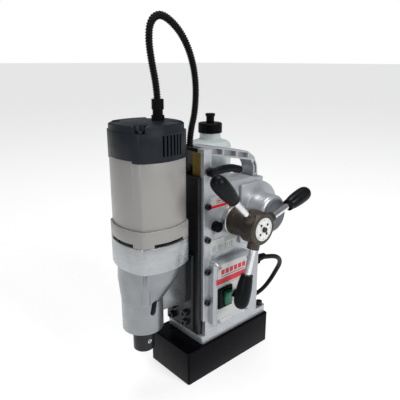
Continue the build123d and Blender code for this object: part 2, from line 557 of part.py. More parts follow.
def feed_motor():
    body = rod_y(FEED_NOSE_X, FEED_NOSE_Z, FEED_NOSE_FRONT + 5.5, SIDE_Y + 20, FEED_MOTOR_R)
    return body.cut(block(STAND_X1 - STAND_WALL, 100, SIDE_Y + STAND_WALL, 60, 180, 260)) + \
        rod_y(FEED_NOSE_X - 2, FEED_NOSE_Z, SIDE_Y + 19, SIDE_Y + 30, 3)


# ---------------------------------------------------------------- capstan
def capstan_hub():
    """Three-armed hub: a neck against the stand, a boss, and a socket for each spoke."""
    neck = rod_y(CAPSTAN_X, CAPSTAN_Z, SPOKE_Y, HUB_BACK, HUB_NECK_R)
    boss = rod_y(CAPSTAN_X, CAPSTAN_Z, HUB_FRONT, SPOKE_Y + 12, HUB_R)
    hub = neck + boss
    hub = chamfer(hub.edges().filter_by(GeomType.CIRCLE).sort_by(Axis.Y)[0], 1.5)
    for angle in SPOKE_ANGLES:
        hub += spoke_bar(angle, 0, HUB_SOCKET_TIP, 8.2)
    hub += rod_y(CAPSTAN_X, CAPSTAN_Z, HUB_BACK - 8, HUB_BACK, HUB_NECK_R + 1.2)
    for angle in SPOKE_ANGLES:
        hub -= spoke_bar(angle, HUB_SOCKET_TIP - 12, HUB_SOCKET_TIP + 5, SPOKE_R)
    hub -= rod_y(CAPSTAN_X, CAPSTAN_Z, HUB_FRONT - 1, HUB_FRONT + DIAL_SINK, DIAL_R)
    hub -= rod_y(CAPSTAN_X, CAPSTAN_Z, HUB_FRONT, HUB_BACK + 1, SHAFT_R)
    return hub


def spoke_bar(angle, r0, r1, bar_r):
    """A round bar that leaves the hub's axis at an angle, in the spokes' plane."""
    a = radians(angle)
    middle = (r0 + r1) / 2
    x, z = CAPSTAN_X + middle * cos(a), CAPSTAN_Z + middle * sin(a)
    return Pos(x, SPOKE_Y, z) * Rot(0, 90 - angle, 0) * Cylinder(bar_r, r1 - r0)


def capstan_spokes():
    return Compound([
        spoke_bar(a, HUB_SOCKET_TIP - 12, SPOKE_TIP - GRIP_LEN + 18, SPOKE_R) for a in SPOKE_ANGLES])


def grip_profile():
    """Half outline of one grip, (radius, distance from the hub axis)."""
    r0, r1 = SPOKE_TIP - GRIP_LEN, SPOKE_TIP
    rise = Spline((7.2, r0), (9.6, r0 + 12), (GRIP_R, r0 + 30), (GRIP_R - 2.4, r1 - 4), (0, r1),
                  tangents=((0.3, 1), (-1, 0)))
    return make_face([Line((0, r0), (7.2, r0)), rise, Line((0, r1), (0, r0))])


def spoke_grips():
    grips = []
    one = revolve(Plane.XZ * grip_profile(), Axis.Z)
    foot = SPOKE_TIP - GRIP_LEN
    one += rod_z(0, 0, foot, foot + 3, GRIP_COLLAR_R)
    one -= rod_z(0, 0, foot - 1, foot + 18, SPOKE_R)
    for angle in SPOKE_ANGLES:
        grips.append(Pos(CAPSTAN_X, SPOKE_Y, CAPSTAN_Z) * Rot(0, 90 - angle, 0) * one)
    return Compound(grips)


def dial_disc():
    disc = rod_y(CAPSTAN_X, CAPSTAN_Z, HUB_FRONT + DIAL_SINK - DIAL_T, HUB_FRONT + DIAL_SINK, DIAL_R)
    disc -= rod_y(CAPSTAN_X, CAPSTAN_Z, HUB_FRONT - 5, HUB_FRONT + 5, 2)
    return disc


def pinion_shaft():
    """Capstan shaft with the feed pinion cut on it and a screw that holds the dial."""
    y0, y1 = HUB_FRONT + DIAL_SINK, HALF_W - 1.5
    shaft = rod_y(CAPSTAN_X, CAPSTAN_Z, y0, y1, SHAFT_R)
    points = [(CAPSTAN_X + px, CAPSTAN_Z + pz) for px, pz in gear_points(RACK_MODULE, PINION_TEETH, pi, 0.2)]
    shaft += prism_y(points, RACK_Y - RACK_W / 2 + 0.5, RACK_Y + RACK_W / 2 - 0.5)
    shaft += rod_y(CAPSTAN_X, CAPSTAN_Z, HUB_FRONT - 2.4, y0 + 1, 2)
    return shaft + rod_y(CAPSTAN_X, CAPSTAN_Z, HUB_FRONT - 4, HUB_FRONT + DIAL_SINK - DIAL_T, 3.2)


def rack_bar():
    """Straight-sided rack teeth on a deep bar, with the web that ties it to the slide."""
    pitch = pi * RACK_MODULE
    low = CAPSTAN_Z - CARRIAGE_TRAVEL - 14
    high = CAPSTAN_Z + 14
    tip_x, root_x = PITCH_LINE_X + 0.8 * RACK_MODULE, PITCH_LINE_X - 1.2 * RACK_MODULE
    slope = tan(radians(20))
    half = pitch / 4 - 0.06
    back = FRAME_BACK + 0.4
    points = [(back, high), (back, low), (root_x, low)]
    first = CAPSTAN_Z + pitch / 2
    k0 = -int((first - low) / pitch) + 1
    k1 = int((high - first) / pitch) - 1
    for k in range(k0, k1 + 1):
        z = first + pitch * k
        root_half = half + slope * (PITCH_LINE_X - root_x)
        tip_half = half - slope * (tip_x - PITCH_LINE_X)
        points += [(root_x, z - root_half), (tip_x, z - tip_half),
                   (tip_x, z + tip_half), (root_x, z + root_half)]
    points.append((root_x, high))
    bar = prism_y(points, RACK_Y - RACK_W / 2, RACK_Y + RACK_W / 2)
    web = block(WAY_BACK - SLIDE_GAP, back, RACK_Y - RACK_W / 2, RACK_Y + RACK_W / 2, low, TONGUE_TOP)
    return bar + web


# ---------------------------------------------------------------- carriage
def slide_block():
    front_x = STAND_X0 - 0.6
    half = SLIDE_PLATE_W / 2
    plate = block(front_x - SLIDE_PLATE_T, front_x, -half, half, SLIDE_Z0, SLIDE_TOP)
    tongue = prism_z(way_points(SLIDE_GAP), SLIDE_Z0, TONGUE_TOP)
    slide = plate + tongue
    for y, z in mount_bolt_places():
        slide -= rod_x(y, z, front_x - SLIDE_PLATE_T - 1, front_x + 3, 3)
    return slide


def mount_bolt_places():
    return [(y, z) for y in (-14.0, 14.0) for z in (MOUNT_Z0 + 10, MOUNT_Z0 + 24)]


def mount_plate():
    plate = block(MOUNT_FRONT, SLIDE_FRONT, -MOUNT_W / 2, MOUNT_W / 2, MOUNT_Z0, MOUNT_Z1)
    plate = chamfer(plate.faces().sort_by(Axis.X)[0].edges(), 1)
    for y, z in mount_bolt_places():
        plate -= rod_x(y, z, MOUNT_FRONT - 1, SLIDE_FRONT + 1, 3)
    return plate


def mount_bolts():
    bolts = []
    for y, z in mount_bolt_places():
        head = rod_x(y, z, MOUNT_FRONT - 6, MOUNT_FRONT, 5)
        shank = rod_x(y, z, MOUNT_FRONT, SLIDE_FRONT + SLIDE_PLATE_T - 0.5, 3)
        socket = rod_x(y, z, MOUNT_FRONT - 7, MOUNT_FRONT - 2.5, 2.6)
        bolts.append(head + shank - socket)
    return Compound(bolts)


def idler_place():
    """Idler axis: where the circles of both gear centre distances cross, on the +Y side."""
    d1 = FAST_MODULE * (MOTOR_TEETH + IDLER_TEETH) / 2 + GEAR_GAP
    d2 = SLOW_MODULE * (IDLER_PINION_TEETH + SPINDLE_TEETH) / 2 + GEAR_GAP
    span = MOTOR_X - SPINDLE_X
    along = (d1 ** 2 - d2 ** 2 + span ** 2) / (2 * span)
    return MOTOR_X - along, sqrt(d1 ** 2 - along ** 2)


def gear_case():
    """Cast housing: bulged square at the top, round neck at the bottom, lug to the slide."""
    top = Pos(MOTOR_X, 0, CASE_TOP) * bulged_square(BODY_CORNER - 2.5, BODY_BULGE - 2.5)
    low = Pos(MOTOR_X - 6, 0, CASE_TOP - 22) * bulged_square(BODY_CORNER - 5.5, BODY_BULGE - 6)
    neck = Pos(SPINDLE_X, 0, NECK_Z) * bulged_square(NOSE_R * 0.72, NOSE_R)
    case = loft([top, low], ruled=True) + loft([low, neck], ruled=True)
    case += rod_z(SPINDLE_X, 0, NOSE_Z, NECK_Z + 4, NOSE_R)
    lug = prism_y([(MOUNT_FRONT, 111), (MOUNT_FRONT, 172), (-86, 172), (-104, 130), (-104, 115)], -15, 15)
    case += lug
    rib_x, rib_y = MOTOR_X - 27, -27
    case += rod_z(rib_x, rib_y, 143, CASE_TOP - 2, 5).rotate(Axis((rib_x, rib_y, CASE_TOP), (1, -1, 0)), -5)
    ix, iy = idler_place()
    slow_tip = SLOW_MODULE * (SPINDLE_TEETH / 2 + 1) + 1.2
    case -= rod_z(SPINDLE_X, 0, SPINDLE_WHEEL_Z0 - 2, CASE_TOP + 1, slow_tip)
    pinion_room = SLOW_MODULE * (IDLER_PINION_TEETH / 2 + 1) + 1.5
    case -= rod_z(ix, iy, SPINDLE_WHEEL_Z0 - 2, CASE_TOP + 1, pinion_room)
    case -= rod_z(ix, iy, IDLER_Z0 - 1, CASE_TOP, IDLER_SHAFT_R + SHAFT_GAP)
    case -= rod_z(SPINDLE_X, 0, UPPER_BEARING_Z0, CASE_TOP, UPPER_BEARING_R)
    case -= rod_z(SPINDLE_X, 0, NOSE_Z - 1, CASE_TOP, SPINDLE_SHAFT_R + 2)
    case -= rod_z(SPINDLE_X, 0, NOSE_Z - 1, NOSE_Z + 12, LOWER_BEARING_R)
    slot = SlotOverall(20, 8)
    drift = Pos(SPINDLE_X - 1.5, -10, 132) * extrude(Plane.XZ * Rot(0, 0, 78) * slot, 40)
    return case - drift


def gear_cover():
    """Upper gear housing with the bearing wall between gears and motor."""
    cover = body_section(CASE_TOP, PLATE_TOP, 1.9)
    cover -= body_section(CASE_TOP - 1, CASE_TOP + 18, -4)
    cover -= rod_z(MOTOR_X, 0, CASE_TOP, PLATE_TOP + 1, 6.5)
    cover -= rod_z(MOTOR_X, 0, PLATE_TOP - 8, PLATE_TOP + 1, MOTOR_BEARING_R)
    ix, iy = idler_place()
    cover -= rod_z(ix, iy, CASE_TOP, IDLER_Z1 + 1, IDLER_SHAFT_R + SHAFT_GAP)
    cover -= ring_cut(PLATE_TOP - 6, PLATE_TOP + 1)
    return cover


def ring_cut(z0, z1):
    """An air space between the outer wall and the round core that carries the bearing."""
    space = body_section(z0, z1, -MOTOR_WALL)
    return space - rod_z(MOTOR_X, 0, z0 - 1, z1 + 1, 20)


def baffle_ring():
    """Ring under the motor tube, cut by one air slot in each face's lower edge."""
    ring = body_section(PLATE_TOP, RING_TOP, 1.9) - body_section(PLATE_TOP - 1, RING_TOP + 1, -MOTOR_WALL)
    reach = BODY_BULGE + 10
    for angle in (0, 90, 180, 270):
        cut = Rot(0, 0, angle) * block(MOTOR_WALL, reach, -SLOT_HALF, SLOT_HALF, 0, SLOT_H)
        cut = cut.cut(Rot(0, 0, angle) * block(0, BODY_CORNER - 6, -40, 40, -1, SLOT_H + 1))
        ring -= Pos(MOTOR_X, 0, PLATE_TOP) * cut
    return ring


def tube_lip():
    """Raised stretch of the tube's upper edge at the front face, which the cap is notched for."""
    lip_top = TUBE_TOP + LIP_H
    lip = body_section(TUBE_TOP, lip_top, 0.7) - body_section(TUBE_TOP - 1, lip_top + 1, -MOTOR_WALL)
    return lip & block(MOTOR_X - 60, MOTOR_X - BODY_CORNER, -LIP_HALF, LIP_HALF, TUBE_TOP, lip_top)


def motor_tube():
    tube = body_section(RING_TOP, TUBE_TOP) - body_section(RING_TOP - 1, TUBE_TOP + 1, -MOTOR_WALL)
    return tube + (tube_lip() & body_section(TUBE_TOP, TUBE_TOP + LIP_H))


def motor_cap():
    """Domed end cap with corner screw recesses and vertical air vents."""
    shell = body_section(TUBE_TOP, CAP_SHOULDER, 0.6)
    crown = body_section(CAP_SHOULDER, CAP_TOP, -0.4)
    crown = chamfer(crown.faces().sort_by(Axis.Z)[-1].edges(), 1.8)
    for sx, sy in corner_signs():
        crown -= rod_z(MOTOR_X + sx * CAP_SCREW_AT, sy * CAP_SCREW_AT, CAP_SHOULDER, CAP_TOP + 1, CAP_SCOOP_R)
    cap = shell + crown - tube_lip()
    cap -= body_section(TUBE_TOP - 1, CAP_SHOULDER - 2, -MOTOR_WALL)
    cap += rod_z(MOTOR_X, 0, CAP_SHOULDER - 16, CAP_SHOULDER - 1, MOTOR_BEARING_R + 3)
    cap -= rod_z(MOTOR_X, 0, CAP_SHOULDER - 17, CAP_SHOULDER - 6, MOTOR_BEARING_R)
    for side in (-1, 1):
        for k in range(VENT_COUNT):
            x = MOTOR_X + 6 + (k - (VENT_COUNT - 1) / 2) * VENT_PITCH
            y0, y1 = sorted((side * 30, side * 50))
            cap -= block(x - VENT_W / 2, x + VENT_W / 2, y0, y1, TUBE_TOP + 6, TUBE_TOP + 6 + VENT_H)
    for sx, sy in corner_signs():
        cap -= rod_z(MOTOR_X + sx * CAP_SCREW_AT, sy * CAP_SCREW_AT, CAP_SHOULDER - 3, CAP_TOP, 2.2)
    cap -= rod_z(MOTOR_GLAND_X, 0, CAP_TOP - 12, CAP_TOP + 1, 5)
    return cap


def corner_signs():
    return [(sx, sy) for sx in (-1, 1) for sy in (-1, 1)]


def cap_screws():
    return Compound([
        socket_screw_z(MOTOR_X + sx * CAP_SCREW_AT, sy * CAP_SCREW_AT, CAP_SHOULDER, 4, 3.5, 2.2, 3)
        for sx, sy in corner_signs()])


def motor_gland():
    """Hexagon gland, body and swivel nut that hold the conduit on the motor cap."""
    x = MOTOR_GLAND_X
    gland = prism_z(polygon_points(x, 0, 8.6, 6), CAP_TOP, CAP_TOP + 6)
    gland += rod_z(x, 0, CAP_TOP - 8, CAP_TOP + 18, 5)
    gland += rod_z(x, 0, CAP_TOP + 6, CAP_TOP + 13, 6.2)
    gland += prism_z(polygon_points(x, 0, 8.0, 6), CAP_TOP + 13, CONDUIT_START_Z - 1)
    return gland - rod_z(x, 0, CONDUIT_START_Z - 6, CONDUIT_START_Z + 1, CONDUIT_D / 2 + 0.5)


def stator():
    ring = ring_z(MOTOR_X, 0, 250, 300, STATOR_R, ROTOR_R + 0.8)
    return ring


def brush_holders():
    holders = []
    for side in (-1, 1):
        y0, y1 = sorted((side * 14.4, side * 33))
        holders.append(block(MOTOR_X - 5, MOTOR_X + 5, y0, y1, 310, 318))
    return Compound(holders)


def ball_bearings():
    gap = SHAFT_GAP
    return Compound([
        ring_z(MOTOR_X, 0, PLATE_TOP - 8, PLATE_TOP - 1, MOTOR_BEARING_R, MOTOR_SHAFT_R + gap),
        ring_z(MOTOR_X, 0, CAP_SHOULDER - 13, CAP_SHOULDER - 6, MOTOR_BEARING_R, MOTOR_SHAFT_R + gap),
        ring_z(SPINDLE_X, 0, UPPER_BEARING_Z0, UPPER_BEARING_Z0 + 9, UPPER_BEARING_R, SPINDLE_SHAFT_R + gap),
        ring_z(SPINDLE_X, 0, NOSE_Z, NOSE_Z + 12, LOWER_BEARING_R, ARBOR_R - 2 + gap),
    ])


# ---------------------------------------------------------------- rotating parts
def gear_angles():
    """Phases of the four gears, in mesh at rest."""
    ix, iy = idler_place()
    to_idler = atan2(iy, ix - MOTOR_X)
    idler_big = mesh_phase(to_idler, 0.0, MOTOR_TEETH, IDLER_TEETH)
    to_spindle = atan2(-iy, SPINDLE_X - ix)
    spindle = mesh_phase(to_spindle, 0.0, IDLER_PINION_TEETH, SPINDLE_TEETH)
    return idler_big, spindle


def armature_shaft():
    """Motor shaft with its pinion and commutator."""
    shaft = rod_z(MOTOR_X, 0, FAST_Z0 - 1, CAP_SHOULDER - 6.5, MOTOR_SHAFT_R)
    shaft += spur_gear_z(FAST_MODULE, MOTOR_TEETH, MOTOR_X, 0, FAST_Z0, FAST_Z1, 0.0)
    return shaft


def armature_core():
    """Slotted lamination stack with the copper commutator's drum above it."""
    core = ring_z(MOTOR_X, 0, 251, 299, ROTOR_R, MOTOR_SHAFT_R)
    for k in range(12):
        x, y = polar(MOTOR_X, 0, ROTOR_R, 2 * pi * k / 12)
        core -= rod_z(x, y, 250, 300, 1.6)
    return core


def commutator():
    return ring_z(MOTOR_X, 0, 304, 322, 14.0, MOTOR_SHAFT_R)


def cooling_fan():
    """Radial fan under the windings: a disc with straight blades."""
    fan = ring_z(MOTOR_X, 0, 229, 231, 31, MOTOR_SHAFT_R)
    fan += ring_z(MOTOR_X, 0, 226, 234, 8, MOTOR_SHAFT_R)
    for k in range(FAN_BLADES):
        blade = block(10, 30, -0.7, 0.7, 230, 238)
        fan += Pos(MOTOR_X, 0, 0) * Rot(0, 0, 360 * k / FAN_BLADES) * blade
    return fan


def idler_gears():
    ix, iy = idler_place()
    idler_big, _ = gear_angles()
    gears = rod_z(ix, iy, IDLER_Z0, IDLER_Z1, IDLER_SHAFT_R)
    gears += spur_gear_z(FAST_MODULE, IDLER_TEETH, ix, iy, FAST_Z0 + 0.5, FAST_Z1 - 0.5, idler_big)
    pinion_top = SPINDLE_WHEEL_Z1 + 1.5
    gears += spur_gear_z(SLOW_MODULE, IDLER_PINION_TEETH, ix, iy, SPINDLE_WHEEL_Z0, pinion_top, 0.0)
    return gears


def spindle_wheel():
    _, phase = gear_angles()
    z0, z1 = SPINDLE_WHEEL_Z0 + 0.5, SPINDLE_WHEEL_Z1 - 0.5
    wheel = spur_gear_z(SLOW_MODULE, SPINDLE_TEETH, SPINDLE_X, 0, z0, z1, phase)
    return wheel - rod_z(SPINDLE_X, 0, 150, 200, SPINDLE_SHAFT_R - 1)


def arbor():
    """Spindle with its weldon tool socket, and the black sleeve that shows under the nose."""
    low = rod_z(SPINDLE_X, 0, ARBOR_BOTTOM, NOSE_Z - 0.5, ARBOR_R)
    low = chamfer(low.faces().sort_by(Axis.Z)[0].edges(), 1)
    spindle = low + rod_z(SPINDLE_X, 0, NOSE_Z - 1, NOSE_Z + 12, ARBOR_R - 2)
    spindle += rod_z(SPINDLE_X, 0, NOSE_Z + 11, SPINDLE_WHEEL_Z0 - 0.5, SPINDLE_SHAFT_R)
    spindle += rod_z(SPINDLE_X, 0, SPINDLE_WHEEL_Z0 - 1, SPINDLE_WHEEL_Z1, SPINDLE_SHAFT_R - 1)
    spindle -= rod_z(SPINDLE_X, 0, ARBOR_BOTTOM - 1, ARBOR_BOTTOM + WELDON_DEPTH, WELDON_R)
    for angle in (90, 270):
        hole = rod_x(0, 0, WELDON_R - 1, ARBOR_R + 1, 3)
        hole = Pos(SPINDLE_X, 0, ARBOR_BOTTOM + 14) * Rot(0, 0, angle) * hole
        spindle -= hole
    return spindle


def arbor_screws():
    """Grub screws that clamp the cutter's shank."""
    screws = []
    for angle in (90, 270):
        screw = rod_x(0, 0, WELDON_R + 0.2, ARBOR_R - 0.4, 3) - rod_x(0, 0, ARBOR_R - 2.4, ARBOR_R, 1.5)
        screws.append(Pos(SPINDLE_X, 0, ARBOR_BOTTOM + 14) * Rot(0, 0, angle) * screw)
    return Compound(screws)


# ---------------------------------------------------------------- lock lever
def lock_lever():
    """Curved lever with a thick grip, on a screw that clamps the slide."""
    y = SIDE_Y - 8.5
    path = FilletPolyline((LEVER_X + 4, y, LEVER_Z + 0.5), (LEVER_X + 20, y, LEVER_Z + 1.8),
                          (LEVER_X + 34, y, LEVER_Z + 0.8), (LEVER_X + LEVER_REACH, y, LEVER_Z - 3), radius=26)
    plane = Plane(origin=path @ 0, z_dir=path % 0)
    grip = sweep(plane * Circle(LEVER_R), path=path)
    grip += Pos(*(path @ 1)) * Sphere(LEVER_R)
    hub = rod_y(LEVER_X, LEVER_Z, SIDE_Y - 14, SIDE_Y - 3, LEVER_R + 0.8)
    stem = rod_y(LEVER_X, LEVER_Z, SIDE_Y - 4, SIDE_Y + STAND_WALL - 0.4, 2.5 - SHAFT_GAP)
    return grip + hub + stem


# ---------------------------------------------------------------- coolant bottle
def bottle_outline(inset):
    """Half section of the bottle, (radius, height), shrunk by inset."""
    r, neck = BOTTLE_R - inset, BOTTLE_NECK_R - inset
    z0, z1, top = BOTTLE_Z0 + inset, BOTTLE_Z1, BOTTLE_RIM_Z + (1 if inset else 0)
    bend = Spline((r, z1), (r - 4, z1 + 9), (neck + 2, z1 + 13), (neck, z1 + 17), tangents=((0, 1), (0, 1)))
    side = Polyline((0, z0), (r - 3, z0), (r, z0 + 3), (r, z1))
    lid = Polyline((neck, z1 + 17), (neck, top), (0, top), (0, z0))
    return make_face([*side.edges(), bend, *lid.edges()])


def bottle_body():
    outer = revolve(Plane.XZ * bottle_outline(0), Axis.Z)
    inner = revolve(Plane.XZ * bottle_outline(BOTTLE_WALL), Axis.Z)
    return Pos(BOTTLE_X, BOTTLE_Y, 0) * (outer - inner)


def bottle_cap():
    cap = rod_z(BOTTLE_X, BOTTLE_Y, BOTTLE_RIM_Z - 1.0, BOTTLE_CAP_Z, BOTTLE_CAP_R)
    cap = fillet(cap.faces().sort_by(Axis.Z)[-1].edges(), 2)
    for k in range(24):
        x, y = polar(BOTTLE_X, BOTTLE_Y, BOTTLE_CAP_R + 0.3, 2 * pi * k / 24)
        cap -= rod_z(x, y, BOTTLE_RIM_Z - 3, BOTTLE_CAP_Z - 3, 0.9)
    cap -= rod_z(BOTTLE_X, BOTTLE_Y, BOTTLE_RIM_Z - 2, BOTTLE_RIM_Z + 0.3, BOTTLE_NECK_R + 0.3)
    cap += ring_z(BOTTLE_X, BOTTLE_Y, BOTTLE_CAP_Z - 1, BOTTLE_CAP_Z + 5, 5.0, 3)
    return cap - rod_z(BOTTLE_X, BOTTLE_Y, BOTTLE_RIM_Z - 1, BOTTLE_CAP_Z + 6, 3)


def bottle_spout():
    """Push-pull spout: a flanged button on a hollow stem."""
    z = BOTTLE_CAP_Z
    spout = rod_z(BOTTLE_X, BOTTLE_Y, z - 4, z + 13, 3 - SHAFT_GAP)
    spout += ring_z(BOTTLE_X, BOTTLE_Y, z + 0.5, z + 12, 6.2, 5.3)
    spout += rod_z(BOTTLE_X, BOTTLE_Y, z + 10, z + 14, 7.5)
    return spout - rod_z(BOTTLE_X, BOTTLE_Y, z - 5, z + 15, 1.2)


def bottle_bracket():
    """Two hoops and a shelf ring on a strap that is screwed to the far side of the stand."""
    gap = 0.3
    strap = block(BOTTLE_X - 30, BOTTLE_X - 8, HALF_W, HALF_W + 2.5, BOTTLE_Z0 - 2, 258)
    strap = strap.cut(block(STAND_X1 - 9, 200, 0, 100, 0, 400))
    bracket = strap
    for z in (BOTTLE_Z0 + 22, BOTTLE_Z0 + 82):
        hoop = ring_z(BOTTLE_X, BOTTLE_Y, z, z + 14, BOTTLE_R + gap + 2, BOTTLE_R + gap)
        arm = block(BOTTLE_X - 22, BOTTLE_X - 14, HALF_W + 1, BOTTLE_Y - 20, z, z + 14)
        bracket += hoop + (arm - rod_z(BOTTLE_X, BOTTLE_Y, z - 1, z + 15, BOTTLE_R + gap + 0.5))
    shelf = ring_z(BOTTLE_X, BOTTLE_Y, BOTTLE_Z0 - 3, BOTTLE_Z0 - 0.2, BOTTLE_R - 2, BOTTLE_R - 16)
    foot = block(BOTTLE_X - 30, BOTTLE_X - 12, HALF_W, BOTTLE_Y - 12, BOTTLE_Z0 - 3, BOTTLE_Z0 - 0.2)
    return bracket + shelf + foot.cut(rod_z(BOTTLE_X, BOTTLE_Y, 0, 400, BOTTLE_R - 16))


# ---------------------------------------------------------------- inside the stand
def circuit_board():
    board = block(8, 56, 10, 11.6, 80, 165)
    for x, z, h in ((18, 100, 14), (34, 100, 10), (44, 130, 12), (20, 140, 8)):
        board += block(x - 5, x + 5, 11.6 - 0.1, 11.6 + h, z - 7, z + 7)
    board += block(8, 56, -2, 10, 62, 80)
    return board


# ---------------------------------------------------------------- leads
def route_radii(points):
    """Arc radius at each inner point: 0.45 of the shorter run over the tangent of half the turn."""
    radii = []
    for before, here, after in zip(points, points[1:], points[2:]):
        a, b = Vector(*here) - Vector(*before), Vector(*after) - Vector(*here)
        half_turn = radians(a.get_angle(b)) / 2
        radii.append(0.45 * min(a.length, b.length) / tan(half_turn))
    return radii


def lead(points, diameter, name):
    """A round lead along straight runs joined by tangent arcs."""
    radii = route_radii(points)
    path = FilletPolyline(*points, radius=radii)
    plane = Plane(origin=path @ 0, z_dir=path % 0)
    solid = sweep(plane * Circle(diameter / 2), path=path)
    expected = pi * diameter ** 2 / 4 * path.length
    print(name, "radii", [round(r) for r in radii], "length", round(path.length, 1),
          "volume ratio", round(solid.volume / expected, 4))
    return solid, path.length


def cord_coil():
    """Outer shape of the neat coil that the spare lead is wound into."""
    half = COIL_LAYER_TURNS * CORD_D / 2
    return ring_z(COIL_X, COIL_Y, 0, COIL_HEIGHT, COIL_MEAN_R + half, COIL_MEAN_R - half)


def power_plug():
    """Two-pin rubber plug lying across the top of the coil, its neck over the last turn."""
    x, y, z = PLUG_PLACE
    half = PLUG_LEN / 2
    body = Pos(x, y, z) * Box(PLUG_LEN, PLUG_W, PLUG_H)
    body = fillet(body.edges().filter_by(Axis.X), 6)
    neck = rod_x(y, z, x + half - 2, x + half + 18, 6)
    pins = [rod_x(y + side * 9.5, z, x - half - 19, x - half + 1, 2.4) for side in (-1, 1)]
    return body + neck + pins


def cord_gland():
    x = STAND_X1
    gland = rod_x(GLAND_Y, GLAND_Z, x - STAND_WALL - 1, x, 6)
    gland += Pos(x + 3, GLAND_Y, GLAND_Z) * Rot(0, 90, 0) * extrude(RegularPolygon(9, 6), 3, both=True)
    taper = Pos(x + 6, GLAND_Y, GLAND_Z) * Rot(0, 90, 0) * Cone(6.5, 4.6, CORD_START_X - x - 6, align=(
        Align.CENTER, Align.CENTER, Align.MIN))
    return gland + taper


# ---------------------------------------------------------------- write every node
def build():
    conduit, _ = lead(CONDUIT_ROUTE, CONDUIT_D, "conduit")
    cord, cord_run = lead(CORD_ROUTE, CORD_D, "power_cord")
    print("coil holds", round((CORD_LENGTH - cord_run) / (2 * pi * COIL_MEAN_R), 2), "turns")
    nodes = magnet_parts()
    nodes |= {
        "stand_casting": stand_casting(), "flange_bolts": flange_bolt_set(), "top_plate": top_plate(),
        "carry_handle": carry_handle(), "gib_strips": gib_pair(), "gib_screws": side_screws(),
        "capstan_bushes": capstan_bushes(), "hub_boss": hub_boss(), "switch_panel": switch_panel(),
        "panel_label": panel_label(), "side_labels": side_labels(), "switch_bezel": switch_bezel(),
        "rocker_switch": rocker_switch(), "panel_screws": panel_screw_set(), "speed_knob": speed_knob(),
        "feed_lock_knob": feed_lock_knob(), "feed_housing": feed_housing(), "feed_cap": feed_cap(),
        "feed_motor": feed_motor(), "circuit_board": circuit_board(),
        "capstan_hub": capstan_hub(), "capstan_spokes": capstan_spokes(), "spoke_grips": spoke_grips(),
        "dial_disc": dial_disc(), "pinion_shaft": pinion_shaft(), "feed_rack": rack_bar(),
        "slide_block": slide_block(), "mount_plate": mount_plate(), "mount_bolts": mount_bolts(),
        "gear_case": gear_case(), "gear_cover": gear_cover(), "baffle_ring": baffle_ring(),
        "motor_tube": motor_tube(), "motor_cap": motor_cap(), "cap_screws": cap_screws(),
        "motor_gland": motor_gland(), "stator": stator(), "brush_holders": brush_holders(),
        "ball_bearings": ball_bearings(), "armature_shaft": armature_shaft(), "armature_core": armature_core(),
        "commutator": commutator(), "cooling_fan": cooling_fan(), "idler_gears": idler_gears(),
        "spindle_wheel": spindle_wheel(), "arbor": arbor(), "arbor_screws": arbor_screws(),
        "lock_lever": lock_lever(), "bottle_body": bottle_body(), "bottle_cap": bottle_cap(),
        "bottle_spout": bottle_spout(), "bottle_bracket": bottle_bracket(), "conduit": conduit,
        "cord_gland": cord_gland(), "power_cord": cord, "cord_coil": cord_coil(), "power_plug": power_plug(),
    }
    os.makedirs("parts", exist_ok=True)
    for name, shape in nodes.items():
        export_step(shape, f"parts/{name}.step")
    print(len(nodes), "nodes written")


build()
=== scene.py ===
"""Looks of the magnetic drill press: camera, leads, finishes, softened castings, prints and light.

Every place is in metres in the frame of the CAD model: +Z up, the drilling unit at -X, the operator at -Y.
"""
import json
from math import atan2, cos, pi, radians, sin

import bmesh
import bpy
from mathutils import Matrix, Vector


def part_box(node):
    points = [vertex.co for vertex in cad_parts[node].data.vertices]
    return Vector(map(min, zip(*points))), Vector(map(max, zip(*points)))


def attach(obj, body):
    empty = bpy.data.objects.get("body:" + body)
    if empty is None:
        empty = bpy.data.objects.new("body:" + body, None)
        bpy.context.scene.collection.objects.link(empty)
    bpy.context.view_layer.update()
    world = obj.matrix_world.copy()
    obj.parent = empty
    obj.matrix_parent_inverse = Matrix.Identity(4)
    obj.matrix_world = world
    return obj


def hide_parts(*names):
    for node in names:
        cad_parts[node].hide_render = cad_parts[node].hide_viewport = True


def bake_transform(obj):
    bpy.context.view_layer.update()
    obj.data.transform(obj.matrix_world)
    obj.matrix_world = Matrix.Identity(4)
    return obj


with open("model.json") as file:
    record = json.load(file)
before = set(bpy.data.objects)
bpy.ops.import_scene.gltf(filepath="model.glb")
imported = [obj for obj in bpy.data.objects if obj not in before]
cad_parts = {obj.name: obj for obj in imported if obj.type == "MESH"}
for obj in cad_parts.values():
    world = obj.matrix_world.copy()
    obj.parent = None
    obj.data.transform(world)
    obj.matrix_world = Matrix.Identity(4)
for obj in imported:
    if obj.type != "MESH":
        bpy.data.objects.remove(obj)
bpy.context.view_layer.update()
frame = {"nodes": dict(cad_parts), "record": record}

NODES = frame["nodes"]
SLOT_OF = {row["node"]: row["material_slot"] for row in frame["record"]["subparts"]}
BODY_OF = {node: body for body, nodes in frame["record"]["behaviour"]["bodies"].items() for node in nodes}
MM = 0.001

# ---------------------------------------------------------------- sizes shared by several pieces
CORD_D = 7.5 * MM
COIL_X, COIL_Y, COIL_MEAN_R = 0.105, 0.102, 0.044
TURNS_PER_LAYER, LAYERS = 3, 3
CONDUIT_D = 9.3 * MM
ROOM_LIGHT = 0.26
WAY_HALF, WAY_FLOOR_X, WAY_FOOT_Z = 0.0262, -0.0425, 0.0640
PANEL_FACE_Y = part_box("panel_label")[0][1]
SIDE_FACE_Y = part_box("side_labels")[0][1]


